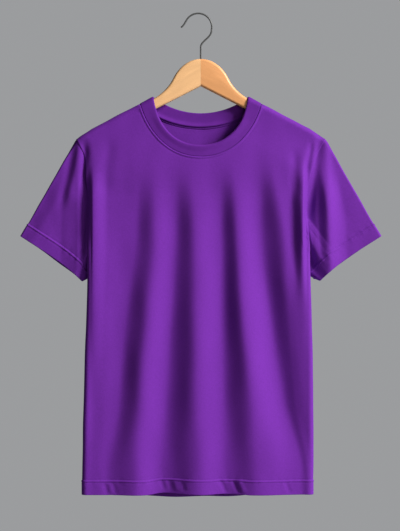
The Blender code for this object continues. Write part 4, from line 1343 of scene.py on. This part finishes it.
def make_hook():
    """The bent wire, with a rounded tip."""
    path = hook_path()
    end = path[-1]
    ahead = (path[-1] - path[-2]) / np.linalg.norm(path[-1] - path[-2])
    turns = np.radians(HOOK_TIP_TURNS)
    cap = [end - ahead * WIRE_RADIUS * (1 - math.sin(turn)) for turn in turns]
    body = [point for point in path if np.linalg.norm(point - end) > WIRE_RADIUS]
    radii = [1.0] * len(body) + [math.cos(turn) for turn in turns]
    bpy.ops.object.select_all(action="DESELECT")
    bpy.ops.curve.primitive_nurbs_path_add()
    hook = bpy.context.object
    curve = hook.data
    curve.splines.clear()
    line = curve.splines.new("POLY")
    line.points.add(len(radii) - 1)
    for point, (x, z), radius in zip(line.points, body + cap, radii):
        point.co = (x, 0.0, z, 1.0)
        point.radius = radius
    curve.bevel_depth = WIRE_RADIUS
    curve.bevel_resolution = 6
    curve.use_fill_caps = True
    select_only(hook)
    bpy.ops.object.convert(target="MESH")
    hook = bpy.context.object
    bpy.ops.object.mode_set(mode="EDIT")
    bpy.ops.mesh.select_all(action="SELECT")
    bpy.ops.mesh.remove_doubles(threshold=0.00001)
    bpy.ops.mesh.normals_make_consistent(inside=False)
    bpy.ops.object.mode_set(mode="OBJECT")
    bpy.ops.object.shade_smooth_by_angle(angle=math.radians(HOOK_SMOOTH))
    hook.name = "hanger_hook_wire"
    hook.data.materials.clear()
    hook.data.materials.append(material_named("dark steel"))
    take_place(hook, "hanger_hook")


# ---- Camera, lights, backdrop and floor ------------------------------------------------------------
def add_lamp(lamp, power):
    """A square soft light that looks at the shirt. Azimuth 0 is in front and grows to the right."""
    light = bpy.data.lights.new(lamp.name, "AREA")
    light.energy = power
    light.size = lamp.size
    holder = bpy.data.objects.new(lamp.name, light)
    holder.visible_camera = False
    holder.visible_glossy = lamp.glints
    turn, rise = math.radians(lamp.azimuth), math.radians(lamp.elevation)
    away = Vector((math.sin(turn) * math.cos(rise), -math.cos(turn) * math.cos(rise), math.sin(rise)))
    holder.location = Vector(AIM) + away * lamp.distance
    holder.rotation_euler = away.to_track_quat("Z", "Y").to_euler()
    bpy.context.scene.collection.objects.link(holder)


def add_world(settings):
    """An even backdrop that lights the shirt only faintly."""
    world = bpy.data.worlds.new("backdrop")
    bpy.context.scene.world = world
    world.use_nodes = True
    tree = world.node_tree
    background = tree.nodes["Background"]
    background.inputs["Color"].default_value = (*settings.backdrop, 1.0)
    seen = tree.nodes.new("ShaderNodeLightPath")
    shown = math_node(tree, "MULTIPLY", seen.outputs["Is Camera Ray"], 1.0 - settings.ambient)
    tree.links.new(math_node(tree, "ADD", shown, settings.ambient), background.inputs["Strength"])


def make_stage(context):
    """Camera, lights, backdrop and floor."""
    settings = context.scene.shirt_stage
    camera = bpy.data.objects.new("camera", bpy.data.cameras.new("camera"))
    camera.location = CAMERA_PLACE
    camera.rotation_euler = (math.pi / 2, 0.0, 0.0)
    camera.data.lens = CAMERA_LENS
    camera.data.sensor_width = SENSOR
    camera.data.clip_end = 50.0
    context.scene.collection.objects.link(camera)
    context.scene.camera = camera
    context.scene.view_settings.view_transform = "Standard"
    for lamp in LAMPS:
        add_lamp(lamp, getattr(settings, lamp.name))
    add_world(settings)
    bpy.ops.object.select_all(action="DESELECT")
    place = (0.0, 0.0, FLOOR_LEVEL)
    bpy.ops.mesh.primitive_circle_add(vertices=96, radius=FLOOR_RADIUS, fill_type="NGON", location=place)
    floor = bpy.context.object
    floor.name = "floor"
    material, tree, place = new_material("floor", {"Roughness": 0.8})
    shader = tree.nodes["Principled BSDF"]
    tree.links.new(mottle(tree, place, settings.floor, 2.0, 0.98, 1.02), shader.inputs["Base Color"])
    floor.data.materials.append(material)


# ---- Operators -------------------------------------------------------------------------------------
class SHIRT_OT_panels(bpy.types.Operator):
    """Make the front and back of the body, with their hems"""

    bl_idname = "shirt.panels"
    bl_label = "Front and back"

    def execute(self, context):
        for side in (FRONT, BACK):
            make_panel(context, side)
        return {"FINISHED"}


class SHIRT_OT_sleeves(bpy.types.Operator):
    """Make both sleeves, with their hems"""

    bl_idname = "shirt.sleeves"
    bl_label = "Sleeves"

    def execute(self, context):
        for sign, name in ((1.0, "sleeve_left"), (-1.0, "sleeve_right")):
            make_sleeve(context, sign, name)
        return {"FINISHED"}


class SHIRT_OT_neck(bpy.types.Operator):
    """Make the neck rib, the stitches beside it and the tape inside the back neck"""

    bl_idname = "shirt.neck"
    bl_label = "Neck"

    def execute(self, context):
        make_rib()
        sew("neck_stitches", neck_stitch_lines(context), context.scene.shirt_stitches)
        make_tape(context)
        return {"FINISHED"}


class SHIRT_OT_hanger(bpy.types.Operator):
    """Make the two wooden arms"""

    bl_idname = "shirt.hanger"
    bl_label = "Hanger arms"

    def execute(self, context):
        settings = context.scene.shirt_hanger
        make_arm(1.0, "hanger_left", settings.left_wood, 1.6)
        make_arm(-1.0, "hanger_right", settings.right_wood, 0.6)
        return {"FINISHED"}


class SHIRT_OT_hook(bpy.types.Operator):
    """Bend the hook's wire"""

    bl_idname = "shirt.hook"
    bl_label = "Hook"

    def execute(self, context):
        make_hook()
        return {"FINISHED"}


class SHIRT_OT_stage(bpy.types.Operator):
    """Set up the camera, the lights, the backdrop and the floor"""

    bl_idname = "shirt.stage"
    bl_label = "Stage"

    def execute(self, context):
        make_stage(context)
        return {"FINISHED"}


OPERATORS = (SHIRT_OT_neck, SHIRT_OT_panels, SHIRT_OT_sleeves, SHIRT_OT_hanger, SHIRT_OT_hook, SHIRT_OT_stage)


class SHIRT_PT_pieces(bpy.types.Panel):
    """Lists the pieces in the order in which they are made"""

    bl_label = "T-shirt"
    bl_idname = "SHIRT_PT_pieces"
    bl_space_type = "VIEW_3D"
    bl_region_type = "UI"
    bl_category = "T-shirt"

    def draw(self, context):
        for operator in OPERATORS:
            self.layout.operator(operator.bl_idname)


SETTINGS = {
    "shirt_cloth": ClothSettings,
    "shirt_stitches": StitchSettings,
    "shirt_hanger": HangerSettings,
    "shirt_stage": StageSettings,
}
CLASSES = (*SETTINGS.values(), *OPERATORS, SHIRT_PT_pieces)


def register():
    """Add the settings, the operators and their panel."""
    for cls in CLASSES:
        bpy.utils.register_class(cls)
    for name, settings in SETTINGS.items():
        setattr(bpy.types.Scene, name, bpy.props.PointerProperty(type=settings))


def unregister():
    """Take them away again."""
    for name in SETTINGS:
        delattr(bpy.types.Scene, name)
    for cls in reversed(CLASSES):
        bpy.utils.unregister_class(cls)


def main():
    """Make every piece in order."""
    register()
    for operator in OPERATORS:
        group, name = operator.bl_idname.split(".")
        getattr(getattr(bpy.ops, group), name)()


if __name__ == "__main__":
    main()
